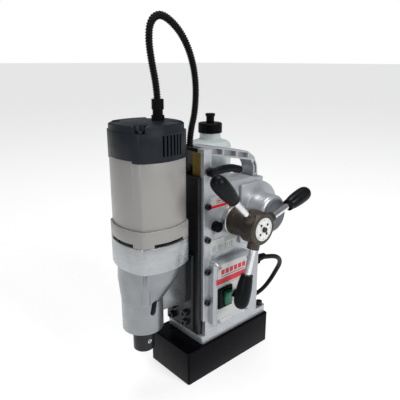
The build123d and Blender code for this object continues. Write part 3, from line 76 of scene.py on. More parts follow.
# ---------------------------------------------------------------- camera
def place_camera(position, azimuth, elevation, roll, lens):
    """Camera that looks at the object's front corner, level apart from a slight roll."""
    a, e, r = radians(azimuth), radians(elevation), radians(roll)
    back = Vector((sin(a) * cos(e), -cos(a) * cos(e), sin(e)))
    level = Vector((0, 0, 1)).cross(back).normalized()
    upright = back.cross(level)
    right = cos(r) * level + sin(r) * upright
    up = -sin(r) * level + cos(r) * upright
    camera = bpy.data.objects.new("camera", bpy.data.cameras.new("camera"))
    camera.data.sensor_width, camera.data.lens = 36.0, lens
    camera.matrix_world = Matrix.Translation(position) @ Matrix((right, up, back)).transposed().to_4x4()
    bpy.context.scene.collection.objects.link(camera)
    bpy.context.scene.camera = camera


place_camera((-0.42207, -0.43883, 0.43100), -42.21, 17.21, 0.16, 40.65)


# ---------------------------------------------------------------- mesh helpers
def link(obj):
    bpy.context.scene.collection.objects.link(obj)
    return obj


def plain_mesh(obj, name):
    """The evaluated shape of an object as a new plain mesh object at the origin; the old one is removed."""
    bpy.context.view_layer.update()
    depsgraph = bpy.context.evaluated_depsgraph_get()
    mesh = bpy.data.meshes.new_from_object(obj.evaluated_get(depsgraph), depsgraph=depsgraph)
    mesh.transform(obj.matrix_world)
    bpy.data.objects.remove(obj)
    mesh.name = name
    return link(bpy.data.objects.new(name, mesh))


def mesh_piece(name, bm, body, material):
    mesh = bpy.data.meshes.new(name)
    bm.to_mesh(mesh)
    bm.free()
    piece = link(bpy.data.objects.new(name, mesh))
    return finish_piece(piece, body, material)


def finish_piece(piece, body, material, smooth_angle=32):
    """Gives a finished mesh its material and shading, and rides it on its body."""
    piece.data.materials.clear()
    piece.data.materials.append(material)
    piece.data.polygons.foreach_set("use_smooth", [True] * len(piece.data.polygons))
    piece.data.set_sharp_from_angle(angle=radians(smooth_angle))
    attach(piece, body)
    return piece


def nurbs(name, points, bevel_r=0.0):
    """A smooth open curve through the pull of its points."""
    curve = bpy.data.curves.new(name, "CURVE")
    curve.dimensions, curve.resolution_u = "3D", 8
    curve.bevel_depth, curve.bevel_resolution, curve.use_fill_caps = bevel_r, 5, True
    spline = curve.splines.new("NURBS")
    spline.points.add(len(points) - 1)
    for point, place in zip(spline.points, points):
        point.co = (*place, 1.0)
    spline.order_u = 3
    spline.use_endpoint_u = True
    return link(bpy.data.objects.new(name, curve))


# ---------------------------------------------------------------- mains lead
def coil_points(start_angle, first_z):
    """Turns of the put-away lead: three layers of rings, each ring stepping to the next in its last sixth."""
    steps = 18
    rings = [COIL_MEAN_R + CORD_D, COIL_MEAN_R, COIL_MEAN_R - CORD_D]
    order = rings + rings[::-1] + rings[:2]
    points = []
    for turn, ring in enumerate(order):
        following = order[turn + 1] if turn + 1 < len(order) else rings[2]
        z = first_z + (turn // TURNS_PER_LAYER) * CORD_D
        next_z = first_z + ((turn + 1) // TURNS_PER_LAYER) * CORD_D if turn + 1 < len(order) else z
        for k in range(steps):
            shift = max(0.0, (k - steps * 5 / 6 + 1) / (steps / 6))
            angle = start_angle + 2 * pi * k / steps
            r, height = ring + (following - ring) * shift, z + (next_z - z) * shift
            points.append((COIL_X + r * cos(angle), COIL_Y + r * sin(angle), height))
    return points


def power_lead():
    """The whole mains lead: out of the stand, down to the floor, round the coil and up into the plug."""
    plug_lo, plug_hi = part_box("power_plug")
    neck_x = COIL_X + 0.022
    neck_y = COIL_Y + 0.038
    neck_z = (plug_lo[2] + plug_hi[2]) / 2
    floor_z = CORD_D / 2 + 0.1 * MM
    route = [
        (0.0870, -0.0250, 0.1372), (0.1085, -0.0260, 0.1335), (0.1275, -0.0250, 0.1240), (0.1420, -0.0170, 0.1075),
        (0.1490, -0.0040, 0.0870), (0.1500, 0.0080, 0.0640), (0.1500, 0.0220, 0.0420), (0.1500, 0.0385, 0.0235),
        (0.1503, 0.0550, 0.0100),
    ]
    start = atan2(-29.0, 45.5)
    rising = []
    for degrees_on, r, z in ((0, 36.5, 19.0), (16, 39.5, 21.5), (30, 44.0, 25.5), (42, 48.5, 28.5)):
        angle = start + radians(degrees_on)
        rising.append((COIL_X + r * MM * cos(angle), COIL_Y + r * MM * sin(angle), z * MM))
    into_plug = [(0.1535, 0.1200, neck_z - 0.0005), (0.1480, 0.1310, neck_z), (0.1380, 0.1382, neck_z),
                 (neck_x + 0.004, neck_y, neck_z), (neck_x - 0.004, neck_y, neck_z)]
    points = route + coil_points(start, floor_z) + rising + into_plug
    lead = nurbs("mains_lead", points, CORD_D / 2)
    lead.data.materials.append(FINISH["cord_rubber"])
    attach(lead, "stand")
    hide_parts("power_cord", "cord_coil")


# ---------------------------------------------------------------- motor conduit
CONDUIT_ROUTE = [
    (-0.0926, 0.0000, 0.3830), (-0.0936, 0.0000, 0.4020), (-0.0990, 0.0000, 0.4260), (-0.1035, -0.0003, 0.4530),
    (-0.1005, -0.0006, 0.4730), (-0.0880, -0.0009, 0.4815), (-0.0715, -0.0012, 0.4750), (-0.0535, -0.0016, 0.4590),
    (-0.0395, -0.0020, 0.4330), (-0.0334, -0.0026, 0.4020), (-0.0360, -0.0032, 0.3670), (-0.0446, -0.0035, 0.3430),
    (-0.0457, -0.0036, 0.3230),
]


def ribbed_tube_tree(name):
    """Geometry Nodes tree: a tube along a curve whose radius swells once a pitch, with rounded ribs."""
    tree = bpy.data.node_groups.new(name, "GeometryNodeTree")
    face = tree.interface
    face.new_socket("Geometry", in_out="INPUT", socket_type="NodeSocketGeometry")
    sizes = {}
    for label, value in (("Radius", 0.004), ("Rib Height", 0.0005), ("Rib Pitch", 0.002)):
        sizes[label] = face.new_socket(label, in_out="INPUT", socket_type="NodeSocketFloat")
        sizes[label].default_value = value
    skin = face.new_socket("Material", in_out="INPUT", socket_type="NodeSocketMaterial")
    face.new_socket("Geometry", in_out="OUTPUT", socket_type="NodeSocketGeometry")
    nodes, links = tree.nodes, tree.links
    given, made = nodes.new("NodeGroupInput"), nodes.new("NodeGroupOutput")
    per_rib = nodes.new("ShaderNodeMath")
    per_rib.operation, per_rib.inputs[1].default_value = "DIVIDE", 6.0
    resample = nodes.new("GeometryNodeResampleCurve")
    resample.mode = "LENGTH"
    index = nodes.new("GeometryNodeInputIndex")
    turn = nodes.new("ShaderNodeMath")
    turn.operation, turn.inputs[1].default_value = "MULTIPLY", 2 * pi / 6
    wave = nodes.new("ShaderNodeMath")
    wave.operation = "COSINE"
    crest = nodes.new("ShaderNodeMath")
    crest.operation = "MULTIPLY"
    radius = nodes.new("ShaderNodeMath")
    radius.operation = "ADD"
    circle = nodes.new("GeometryNodeCurvePrimitiveCircle")
    circle.inputs["Resolution"].default_value = 20
    circle.inputs["Radius"].default_value = 1.0
    sweep = nodes.new("GeometryNodeCurveToMesh")
    sweep.inputs["Fill Caps"].default_value = True
    realize, paint = nodes.new("GeometryNodeRealizeInstances"), nodes.new("GeometryNodeSetMaterial")
    links.new(given.outputs["Rib Pitch"], per_rib.inputs[0])
    links.new(given.outputs["Geometry"], resample.inputs["Curve"])
    links.new(per_rib.outputs[0], resample.inputs["Length"])
    links.new(index.outputs[0], turn.inputs[0])
    links.new(turn.outputs[0], wave.inputs[0])
    links.new(wave.outputs[0], crest.inputs[0])
    links.new(given.outputs["Rib Height"], crest.inputs[1])
    links.new(crest.outputs[0], radius.inputs[0])
    links.new(given.outputs["Radius"], radius.inputs[1])
    links.new(resample.outputs[0], sweep.inputs["Curve"])
    links.new(circle.outputs["Curve"], sweep.inputs["Profile Curve"])
    links.new(radius.outputs[0], sweep.inputs["Scale"])
    links.new(sweep.outputs[0], realize.inputs[0])
    links.new(realize.outputs[0], paint.inputs["Geometry"])
    links.new(given.outputs["Material"], paint.inputs["Material"])
    links.new(paint.outputs[0], made.inputs["Geometry"])
    return tree, {**{label: s.identifier for label, s in sizes.items()}, "Material": skin.identifier}


def motor_conduit():
    """Corrugated sleeve that arches from the motor's cap to the top plate."""
    line = nurbs("conduit_line", CONDUIT_ROUTE)
    tree, at = ribbed_tube_tree("ribbed tube")
    modifier = line.modifiers.new("ribs", "NODES")
    modifier.node_group = tree
    rib = 0.6 * MM
    modifier[at["Radius"]] = CONDUIT_D / 2 - rib
    modifier[at["Rib Height"]] = rib
    modifier[at["Rib Pitch"]] = 3.0 * MM
    modifier[at["Material"]] = FINISH["conduit_plastic"]
    sleeve = plain_mesh(line, "motor_conduit")
    sleeve.data.polygons.foreach_set("use_smooth", [True] * len(sleeve.data.polygons))
    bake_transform(sleeve)
    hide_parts("conduit")


# ---------------------------------------------------------------- shader groups
def group(name, inputs, outputs):
    """A shader node group with named sockets; returns its tree and its two end nodes."""
    tree = bpy.data.node_groups.new(name, "ShaderNodeTree")
    for label, kind, value in inputs:
        socket = tree.interface.new_socket(label, in_out="INPUT", socket_type=kind)
        if value is not None:
            socket.default_value = value
    for label, kind in outputs:
        tree.interface.new_socket(label, in_out="OUTPUT", socket_type=kind)
    return tree, tree.nodes.new("NodeGroupInput"), tree.nodes.new("NodeGroupOutput")


def node(tree, kind, operation=None, **values):
    made = tree.nodes.new(kind)
    if operation:
        made.operation = operation
    for label, value in values.items():
        made.inputs[label.replace("_", " ")].default_value = value
    return made


def maths(tree, operation, first, second):
    """A Math node whose two inputs are each a number or another node's output."""
    made = tree.nodes.new("ShaderNodeMath")
    made.operation = operation
    for socket, value in zip(made.inputs, (first, second)):
        if isinstance(value, (int, float)):
            socket.default_value = value
        else:
            tree.links.new(value, socket)
    return made.outputs[0]


def remap(tree, value, low, high, to_low, to_high):
    made = tree.nodes.new("ShaderNodeMapRange")
    made.clamp = True
    for label, number in (("From Min", low), ("From Max", high), ("To Min", to_low), ("To Max", to_high)):
        made.inputs[label].default_value = number
    tree.links.new(value, made.inputs["Value"])
    return made.outputs["Result"]


FLOAT, COLOUR, VECTOR = "NodeSocketFloat", "NodeSocketColor", "NodeSocketVector"


def cast_grain_group():
    """Skin of a painted casting: fine pebble and slow swells, as a height, with a mask of slow patches."""
    tree, given, made = group("cast grain", [("Grain Size", FLOAT, 900.0), ("Swell Size", FLOAT, 55.0)],
                              [("Height", FLOAT), ("Patches", FLOAT)])
    place = node(tree, "ShaderNodeTexCoord")
    fine = node(tree, "ShaderNodeTexNoise", Detail=3.0, Roughness=0.6)
    slow = node(tree, "ShaderNodeTexNoise", Detail=2.0, Roughness=0.5)
    tree.links.new(place.outputs["Object"], fine.inputs["Vector"])
    tree.links.new(place.outputs["Object"], slow.inputs["Vector"])
    tree.links.new(given.outputs["Grain Size"], fine.inputs["Scale"])
    tree.links.new(given.outputs["Swell Size"], slow.inputs["Scale"])
    height = maths(tree, "ADD", fine.outputs["Fac"], maths(tree, "MULTIPLY", slow.outputs["Fac"], 1.4))
    tree.links.new(height, made.inputs["Height"])
    tree.links.new(remap(tree, slow.outputs["Fac"], 0.35, 0.65, 0.0, 1.0), made.inputs["Patches"])
    return tree


def edge_rub_and_highlight_group():
    """Mask of edges where hands and tools rub, broken up by noise; with a pale edge colour it also paints highlights
    along edges.
    """
    tree, given, made = group("edge rub and highlight", [("Width", FLOAT, 0.0008), ("Break Up", FLOAT, 260.0)], [("Mask", FLOAT)])
    place = node(tree, "ShaderNodeTexCoord")
    rounded = node(tree, "ShaderNodeBevel")
    rounded.samples = 4
    tree.links.new(given.outputs["Width"], rounded.inputs["Radius"])
    sharp = node(tree, "ShaderNodeNewGeometry")
    facing = node(tree, "ShaderNodeVectorMath", "DOT_PRODUCT")
    tree.links.new(rounded.outputs["Normal"], facing.inputs[0])
    tree.links.new(sharp.outputs["Normal"], facing.inputs[1])
    edge = remap(tree, facing.outputs["Value"], 0.995, 0.90, 0.0, 1.0)
    noise = node(tree, "ShaderNodeTexNoise", Detail=4.0, Roughness=0.65)
    tree.links.new(place.outputs["Object"], noise.inputs["Vector"])
    tree.links.new(given.outputs["Break Up"], noise.inputs["Scale"])
    worn = maths(tree, "MULTIPLY", edge, remap(tree, noise.outputs["Fac"], 0.42, 0.62, 0.0, 1.0))
    tree.links.new(worn, made.inputs["Mask"])
    return tree


def machined_group():
    """Long fine tool marks: noise stretched along one axis, as a height and a mask."""
    tree, given, made = group("machined lines", [("Stretch", VECTOR, (1.0, 1.0, 1.0)), ("Line Size", FLOAT, 600.0)],
                              [("Height", FLOAT), ("Mask", FLOAT)])
    place = node(tree, "ShaderNodeTexCoord")
    stretch = node(tree, "ShaderNodeVectorMath", "MULTIPLY")
    tree.links.new(place.outputs["Object"], stretch.inputs[0])
    tree.links.new(given.outputs["Stretch"], stretch.inputs[1])
    lines = node(tree, "ShaderNodeTexNoise", Detail=5.0, Roughness=0.7)
    tree.links.new(stretch.outputs["Vector"], lines.inputs["Vector"])
    tree.links.new(given.outputs["Line Size"], lines.inputs["Scale"])
    tree.links.new(lines.outputs["Fac"], made.inputs["Height"])
    tree.links.new(remap(tree, lines.outputs["Fac"], 0.35, 0.65, 0.0, 1.0), made.inputs["Mask"])
    return tree


def handling_group():
    """Slow smears from handling, and the light dust that settles on faces that look up."""
    tree, given, made = group("handling", [("Smear Size", FLOAT, 38.0)], [("Smears", FLOAT), ("Dust", FLOAT)])
    place = node(tree, "ShaderNodeTexCoord")
    smear = node(tree, "ShaderNodeTexNoise", Detail=6.0, Roughness=0.62, Distortion=0.6)
    tree.links.new(place.outputs["Object"], smear.inputs["Vector"])
    tree.links.new(given.outputs["Smear Size"], smear.inputs["Scale"])
    surface = node(tree, "ShaderNodeNewGeometry")
    parts = node(tree, "ShaderNodeSeparateXYZ")
    tree.links.new(surface.outputs["Normal"], parts.inputs[0])
    upward = remap(tree, parts.outputs["Z"], 0.55, 0.98, 0.0, 1.0)
    specks = node(tree, "ShaderNodeTexNoise", Scale=420.0, Detail=5.0, Roughness=0.7)
    tree.links.new(place.outputs["Object"], specks.inputs["Vector"])
    dust = maths(tree, "MULTIPLY", upward, remap(tree, specks.outputs["Fac"], 0.45, 0.75, 0.0, 1.0))
    tree.links.new(remap(tree, smear.outputs["Fac"], 0.38, 0.68, 0.0, 1.0), made.inputs["Smears"])
    tree.links.new(dust, made.inputs["Dust"])
    return tree


def channel_shade_group():
    """Mask of the slide's way in the stand: the floor of the channel between the two gibs, which gets painted shade."""
    tree, _, made = group("painted channel shade", [], [("Mask", FLOAT)])
    place, split = node(tree, "ShaderNodeTexCoord"), node(tree, "ShaderNodeSeparateXYZ")
    tree.links.new(place.outputs["Object"], split.inputs[0])
    inside = maths(tree, "LESS_THAN", maths(tree, "ABSOLUTE", split.outputs["Y"], 0.0), WAY_HALF)
    ahead = maths(tree, "LESS_THAN", split.outputs["X"], WAY_FLOOR_X)
    above = maths(tree, "GREATER_THAN", split.outputs["Z"], WAY_FOOT_Z)
    tree.links.new(maths(tree, "MULTIPLY", inside, maths(tree, "MULTIPLY", ahead, above)), made.inputs["Mask"])
    return tree


CAST_GRAIN = cast_grain_group()
CHANNEL_SHADE = channel_shade_group()
EDGE_RUB_AND_HIGHLIGHT = edge_rub_and_highlight_group()
MACHINED = machined_group()
HANDLING = handling_group()


# ---------------------------------------------------------------- finishes
class Finish:
    """One material: a Principled shader fed by the shared groups."""

    def __init__(self, name, **constants):
        self.material = bpy.data.materials.new(name)
        self.material.use_nodes = True
        self.tree = self.material.node_tree
        self.shader = self.tree.nodes["Principled BSDF"]
        for label, value in constants.items():
            self.shader.inputs[label.replace("_", " ")].default_value = value

    def use(self, shared, **values):
        made = self.tree.nodes.new("ShaderNodeGroup")
        made.node_tree = shared
        for label, value in values.items():
            made.inputs[label.replace("_", " ")].default_value = value
        return made

    def feed(self, output, label):
        self.tree.links.new(output, self.shader.inputs[label])

    def mix(self, mask, first, second):
        """A colour that goes from first to second as the mask rises; each is a colour or an output."""
        made = self.tree.nodes.new("ShaderNodeMix")
        made.data_type = "RGBA"
        self.tree.links.new(mask, made.inputs[0])
        for socket, value in ((made.inputs[6], first), (made.inputs[7], second)):
            if isinstance(value, tuple):
                socket.default_value = (*value, 1.0)
            else:
                self.tree.links.new(value, socket)
        return made.outputs[2]

    def bump(self, height, strength, distance):
        made = self.tree.nodes.new("ShaderNodeBump")
        made.inputs["Strength"].default_value = strength
        made.inputs["Distance"].default_value = distance
        self.tree.links.new(height, made.inputs["Height"])
        self.feed(made.outputs["Normal"], "Normal")


def painted_casting(name, colour, metal, rough, grain=900.0, coat=0.15, bump=0.00012, rub_and_highlight=(0.75, 0.76, 0.77),
                    patch=0.9, dust=0.12, rub_and_highlight_strength=0.5, shine=0.5,
                    painted_shade=None):
    """Metallic paint on a casting: pebbled skin, smears, pale rubbed edges that are partly painted highlight, and
    painted shade on the stand's channel floor when asked.
    """
    paint = Finish(name, Metallic=metal, Coat_Weight=coat, Coat_Roughness=0.25, Specular_IOR_Level=shine)
    skin = paint.use(CAST_GRAIN, Grain_Size=grain)
    hands = paint.use(HANDLING)
    edge = paint.use(EDGE_RUB_AND_HIGHLIGHT)
    darker = tuple(c * patch for c in colour)
    base = paint.mix(skin.outputs["Patches"], colour, darker)
    # Painted shade: the channel floor between the gibs is painted near-black, for the dark seen down the channel.
    if painted_shade is not None:
        base = paint.mix(paint.use(painted_shade).outputs["Mask"], base, (0.012, 0.013, 0.015))
    dusty = paint.mix(maths(paint.tree, "MULTIPLY", hands.outputs["Dust"], dust), base, (0.55, 0.53, 0.50))
    # Pale edge colour on the mask: rubbed wear, and on the silver and motor paints also painted highlight along the
    # edges.
    paint.feed(paint.mix(maths(paint.tree, "MULTIPLY", edge.outputs["Mask"], rub_and_highlight_strength), dusty, rub_and_highlight), "Base Color")
    paint.feed(remap(paint.tree, hands.outputs["Smears"], 0.0, 1.0, rough - 0.06, rough + 0.08), "Roughness")
    paint.bump(skin.outputs["Height"], 0.35, bump)
    return paint.material


def moulded_plastic(name, colour, rough, grain=1400.0, bump=0.00008, worn=None, shine=0.32):
    """Textured moulded plastic, a little shinier and paler where it is rubbed."""
    plastic = Finish(name, Specular_IOR_Level=shine)
    skin = plastic.use(CAST_GRAIN, Grain_Size=grain, Swell_Size=90.0)
    hands = plastic.use(HANDLING, Smear_Size=60.0)
    edge = plastic.use(EDGE_RUB_AND_HIGHLIGHT, Width=0.0006)
    pale = worn or tuple(min(1.0, c * 1.9 + 0.01) for c in colour)
    base = plastic.mix(skin.outputs["Patches"], colour, tuple(c * 0.8 for c in colour))
    rubbed = maths(plastic.tree, "MULTIPLY", edge.outputs["Mask"], 0.5)
    plastic.feed(plastic.mix(rubbed, base, pale), "Base Color")
    plastic.feed(remap(plastic.tree, hands.outputs["Smears"], 0.0, 1.0, rough - 0.08, rough + 0.08), "Roughness")
    plastic.bump(skin.outputs["Height"], 0.4, bump)
    return plastic.material


def machined_metal(name, colour, rough, stretch=(1.0, 1.0, 0.06), lines=600.0, bump=0.00004, dark=0.72, metal=1.0,
                   rub_and_highlight=(0.62, 0.62, 0.61)):
    """Ground or turned metal with fine lines, darker oil in the smears and bright rubbed edges."""
    steel = Finish(name, Metallic=metal)
    marks = steel.use(MACHINED, Stretch=stretch, Line_Size=lines)
    hands = steel.use(HANDLING, Smear_Size=48.0)
    edge = steel.use(EDGE_RUB_AND_HIGHLIGHT, Width=0.0006)
    base = steel.mix(marks.outputs["Mask"], colour, tuple(c * dark for c in colour))
    oil = maths(steel.tree, "MULTIPLY", hands.outputs["Smears"], 0.35)
    oily = steel.mix(oil, base, tuple(c * 0.6 for c in colour))
    steel.feed(steel.mix(maths(steel.tree, "MULTIPLY", edge.outputs["Mask"], 0.6), oily, rub_and_highlight), "Base Color")
    steel.feed(remap(steel.tree, marks.outputs["Mask"], 0.0, 1.0, rough - 0.06, rough + 0.10), "Roughness")
    steel.bump(marks.outputs["Height"], 0.5, bump)
    return steel.material


def clear_plastic(name, colour, rough, through, grain=260.0):
    """Milky or tinted plastic that lets light through."""
    plastic = Finish(name, Transmission_Weight=through, IOR=1.45, Subsurface_Weight=0.0)
    skin = plastic.use(CAST_GRAIN, Grain_Size=grain, Swell_Size=40.0)
    plastic.feed(plastic.mix(skin.outputs["Patches"], colour, tuple(c * 0.93 for c in colour)), "Base Color")
    plastic.feed(remap(plastic.tree, skin.outputs["Patches"], 0.0, 1.0, rough, rough + 0.1), "Roughness")
    plastic.bump(skin.outputs["Height"], 0.3, 0.00015)
    return plastic.material


FINISH = {
    # Silver casting: the pale, strong edge colour is partly wear and partly painted highlight; the stand's channel
    # floor gets painted shade.
    "silver_cast": painted_casting("silver casting paint", (0.41, 0.43, 0.455), 0.55, 0.34, rub_and_highlight=(0.86, 0.87, 0.88),
                                   rub_and_highlight_strength=0.8, painted_shade=CHANNEL_SHADE),
    "machine_cast": painted_casting("bare silver casting", (0.27, 0.285, 0.30), 0.85, 0.30, grain=700.0, dust=0.04,
                                    bump=0.00012),
    "turned_cover": machined_metal("turned silver cover", (0.42, 0.435, 0.45), 0.27, stretch=(0.10, 0.10, 1.0),
                                   lines=420.0, dark=0.93, metal=0.85, bump=0.000008),
    # Motor paint: the pale, strong edge colour is partly wear and partly painted highlight on the ring's top rim and
    # slot edges.
    "motor_grey": painted_casting("warm grey motor paint", (0.255, 0.247, 0.236), 0.12, 0.38, grain=1300.0,
                                  bump=0.00003, rub_and_highlight=(0.74, 0.72, 0.69), patch=0.985, dust=0.05, rub_and_highlight_strength=0.9),
    "black_paint": painted_casting("black magnet paint", (0.0015, 0.0015, 0.003), 0.0, 0.30, coat=0.0, bump=0.00005,
                                   rub_and_highlight=(0.012, 0.012, 0.016), dust=0.004, rub_and_highlight_strength=0.3, shine=0.05),
    "dial_white": painted_casting("dial enamel", (0.66, 0.67, 0.66), 0.2, 0.34, grain=1600.0, bump=0.00002),
    "print_red": moulded_plastic("red print", (0.52, 0.010, 0.022), 0.36, bump=0.00001, worn=(0.50, 0.05, 0.05)),
    "print_dark": moulded_plastic("dark print", (0.035, 0.036, 0.040), 0.40, bump=0.00001),
    "mid_grey": moulded_plastic("mid grey moulding", (0.090, 0.098, 0.108), 0.42),
    "grey_cap": moulded_plastic("charcoal moulding", (0.011, 0.014, 0.019), 0.40, shine=0.14),
    "black_plastic": moulded_plastic("black moulding", (0.002, 0.002, 0.003), 0.42, shine=0.07),
    "grip_plastic": moulded_plastic("glossy grip", (0.0035, 0.004, 0.006), 0.36, grain=500.0, bump=0.00004, shine=0.11),
    "green_plastic": moulded_plastic("green rocker", (0.0, 0.11, 0.055), 0.25, grain=500.0, bump=0.00003),
    "cord_rubber": moulded_plastic("lead rubber", (0.004, 0.004, 0.005), 0.45, grain=1800.0, shine=0.12),
    "conduit_plastic": moulded_plastic("conduit plastic", (0.003, 0.003, 0.004), 0.34, grain=1500.0, shine=0.10),
    "potting": moulded_plastic("cast resin", (0.02, 0.02, 0.02), 0.5, grain=300.0),
    "board": moulded_plastic("board lacquer", (0.01, 0.10, 0.04), 0.3, grain=300.0),
    "black_steel": machined_metal("blackened steel", (0.014, 0.015, 0.018), 0.38, metal=0.5, rub_and_highlight=(0.10, 0.10, 0.11)),
    "bright_steel": machined_metal("ground steel", (0.56, 0.56, 0.55), 0.30),
    "bronze_steel": machined_metal("oiled dark casting", (0.072, 0.061, 0.050), 0.40, stretch=(1.0, 1.0, 1.0),
                                   lines=420.0, bump=0.00012, metal=0.8, rub_and_highlight=(0.30, 0.27, 0.22)),
    "brass": machined_metal("oiled brass", (0.50, 0.34, 0.085), 0.34, rub_and_highlight=(0.62, 0.50, 0.24)),
    "chrome": machined_metal("chromed bar", (0.78, 0.78, 0.79), 0.10, lines=200.0, bump=0.00001, dark=0.92,
                             rub_and_highlight=(0.85, 0.85, 0.86)),
    "lamination": machined_metal("stacked laminations", (0.30, 0.30, 0.31), 0.4, stretch=(0.04, 0.04, 1.0),
                                 lines=1500.0, bump=0.0001),
    "copper": machined_metal("turned copper", (0.62, 0.30, 0.16), 0.28, stretch=(0.05, 0.05, 1.0), lines=900.0),
    "copper_winding": machined_metal("enamelled wire", (0.45, 0.16, 0.06), 0.35, stretch=(0.05, 0.05, 1.0),
                                     lines=900.0, bump=0.0003),
    "label": painted_casting("label plate", (0.44, 0.455, 0.445), 0.35, 0.32, grain=1600.0, bump=0.00002),
    "bottle": clear_plastic("milky bottle", (0.62, 0.68, 0.68), 0.32, 0.35),
}


# ---------------------------------------------------------------- castings with softened edges
def softened(name, width, material, angle=38, segments=2):
    """The node's own shape, merged and given rounded edges of this width; it stands for the node."""
    bm = bmesh.new()
    bm.from_mesh(NODES[name].data)
    bmesh.ops.remove_doubles(bm, verts=bm.verts, dist=2e-6)
    bmesh.ops.dissolve_limit(bm, angle_limit=radians(0.4), verts=bm.verts, edges=bm.edges)
    mesh = bpy.data.meshes.new(name + "_soft")
    bm.to_mesh(mesh)
    bm.free()
    rough = link(bpy.data.objects.new(name + "_rough", mesh))
    bevel = rough.modifiers.new("edges", "BEVEL")
    bevel.width, bevel.segments, bevel.limit_method = width, segments, "ANGLE"
    bevel.angle_limit = radians(angle)
    bevel.harden_normals = False
    piece = plain_mesh(rough, name + "_finished")
    finish_piece(piece, BODY_OF[name], FINISH[material])
    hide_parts(name)
    return piece


# ---------------------------------------------------------------- printed plates
def plate_box(bm, x0, x1, z0, z1, y, thick):
    """A thin raised print that stands off a -Y face."""
    corners = [(x, yy, z) for x in (x0, x1) for yy in (y - thick, y + 0.02 * MM) for z in (z0, z1)]
    verts = [bm.verts.new(c) for c in corners]
    for quad in ((0, 1, 3, 2), (4, 6, 7, 5), (0, 4, 5, 1), (2, 3, 7, 6), (0, 2, 6, 4), (1, 5, 7, 3)):
        bm.faces.new([verts[k] for k in quad])


def print_piece(name, boxes, y, material, thick=0.06 * MM):
    bm = bmesh.new()
    for x0, x1, z0, z1 in boxes:
        plate_box(bm, x0 * MM, x1 * MM, z0 * MM, z1 * MM, y, thick)
    bmesh.ops.recalc_face_normals(bm, faces=bm.faces)
    return mesh_piece(name, bm, "stand", material)


def ring_of_marks_tree(name):
    """Geometry Nodes tree: small flat marks set radially along an arc, facing the tree's own +Z."""
    tree = bpy.data.node_groups.new(name, "GeometryNodeTree")
    face = tree.interface
    face.new_socket("Geometry", in_out="INPUT", socket_type="NodeSocketGeometry")
    at = {}
    for label, kind, value in (("Count", "NodeSocketInt", 12), ("Ring Radius", "NodeSocketFloat", 0.01),
                               ("From", "NodeSocketFloat", 0.0), ("Sweep", "NodeSocketFloat", 2 * pi),
                               ("Mark Size", "NodeSocketVector", (0.001, 0.0003, 0.0001))):
        socket = face.new_socket(label, in_out="INPUT", socket_type=kind)
        socket.default_value = value
        at[label] = socket.identifier
    at["Material"] = face.new_socket("Material", in_out="INPUT", socket_type="NodeSocketMaterial").identifier
    face.new_socket("Geometry", in_out="OUTPUT", socket_type="NodeSocketGeometry")
    nodes, links = tree.nodes, tree.links
    given, made = nodes.new("NodeGroupInput"), nodes.new("NodeGroupOutput")
    arc, mark = nodes.new("GeometryNodeCurveArc"), nodes.new("GeometryNodeMeshCube")
    along, turn, heading = (nodes.new("GeometryNodeSplineParameter"), nodes.new("ShaderNodeMath"),
                            nodes.new("ShaderNodeCombineXYZ"))
    turn.operation = "MULTIPLY_ADD"
    spread = nodes.new("GeometryNodeInstanceOnPoints")
    realize, paint = nodes.new("GeometryNodeRealizeInstances"), nodes.new("GeometryNodeSetMaterial")
    for source, sink in (("Count", arc.inputs["Resolution"]), ("Ring Radius", arc.inputs["Radius"]),
                         ("From", arc.inputs["Start Angle"]), ("Sweep", arc.inputs["Sweep Angle"]),
                         ("Mark Size", mark.inputs["Size"]), ("Sweep", turn.inputs[1]), ("From", turn.inputs[2]),
                         ("Material", paint.inputs["Material"])):
        links.new(given.outputs[source], sink)
    links.new(along.outputs["Factor"], turn.inputs[0])
    links.new(turn.outputs[0], heading.inputs["Z"])
    links.new(arc.outputs["Curve"], spread.inputs["Points"])
    links.new(mark.outputs["Mesh"], spread.inputs["Instance"])
    links.new(heading.outputs[0], spread.inputs["Rotation"])
    links.new(spread.outputs[0], realize.inputs[0])
    links.new(realize.outputs[0], paint.inputs["Geometry"])
    links.new(paint.outputs[0], made.inputs["Geometry"])
    return tree, at


RING_OF_MARKS, RING_SOCKETS = ring_of_marks_tree("ring of marks")


def ring_of_marks(name, centre, radius, count, size, material, body, start=0.0, sweep=2 * pi):
    """Flat marks along an arc round a -Y axis; the size is radial length, width and height in mm."""
    holder = link(bpy.data.objects.new(name + "_ring", bpy.data.meshes.new(name + "_seed")))
    modifier = holder.modifiers.new("marks", "NODES")
    modifier.node_group = RING_OF_MARKS
    for label, value in (("Count", count), ("Ring Radius", radius * MM), ("From", start), ("Sweep", sweep),
                         ("Material", material)):
        modifier[RING_SOCKETS[label]] = value
    modifier[RING_SOCKETS["Mark Size"]] = [v * MM for v in size]
    holder.matrix_world = Matrix.Translation(centre) @ Matrix.Rotation(pi / 2, 4, "X")
    piece = plain_mesh(holder, name)
    return finish_piece(piece, body, material)


def disc_piece(name, centre, radius, thick, body, material, sides=32):
    """A thin round print or screw head that faces -Y."""
    bm = bmesh.new()
    turned = Matrix.Translation(centre) @ Matrix.Rotation(pi / 2, 4, "X")
    bmesh.ops.create_cone(bm, cap_ends=True, segments=sides, radius1=radius * MM, radius2=radius * MM,
                          depth=thick * MM, matrix=turned)
    return mesh_piece(name, bm, body, material)


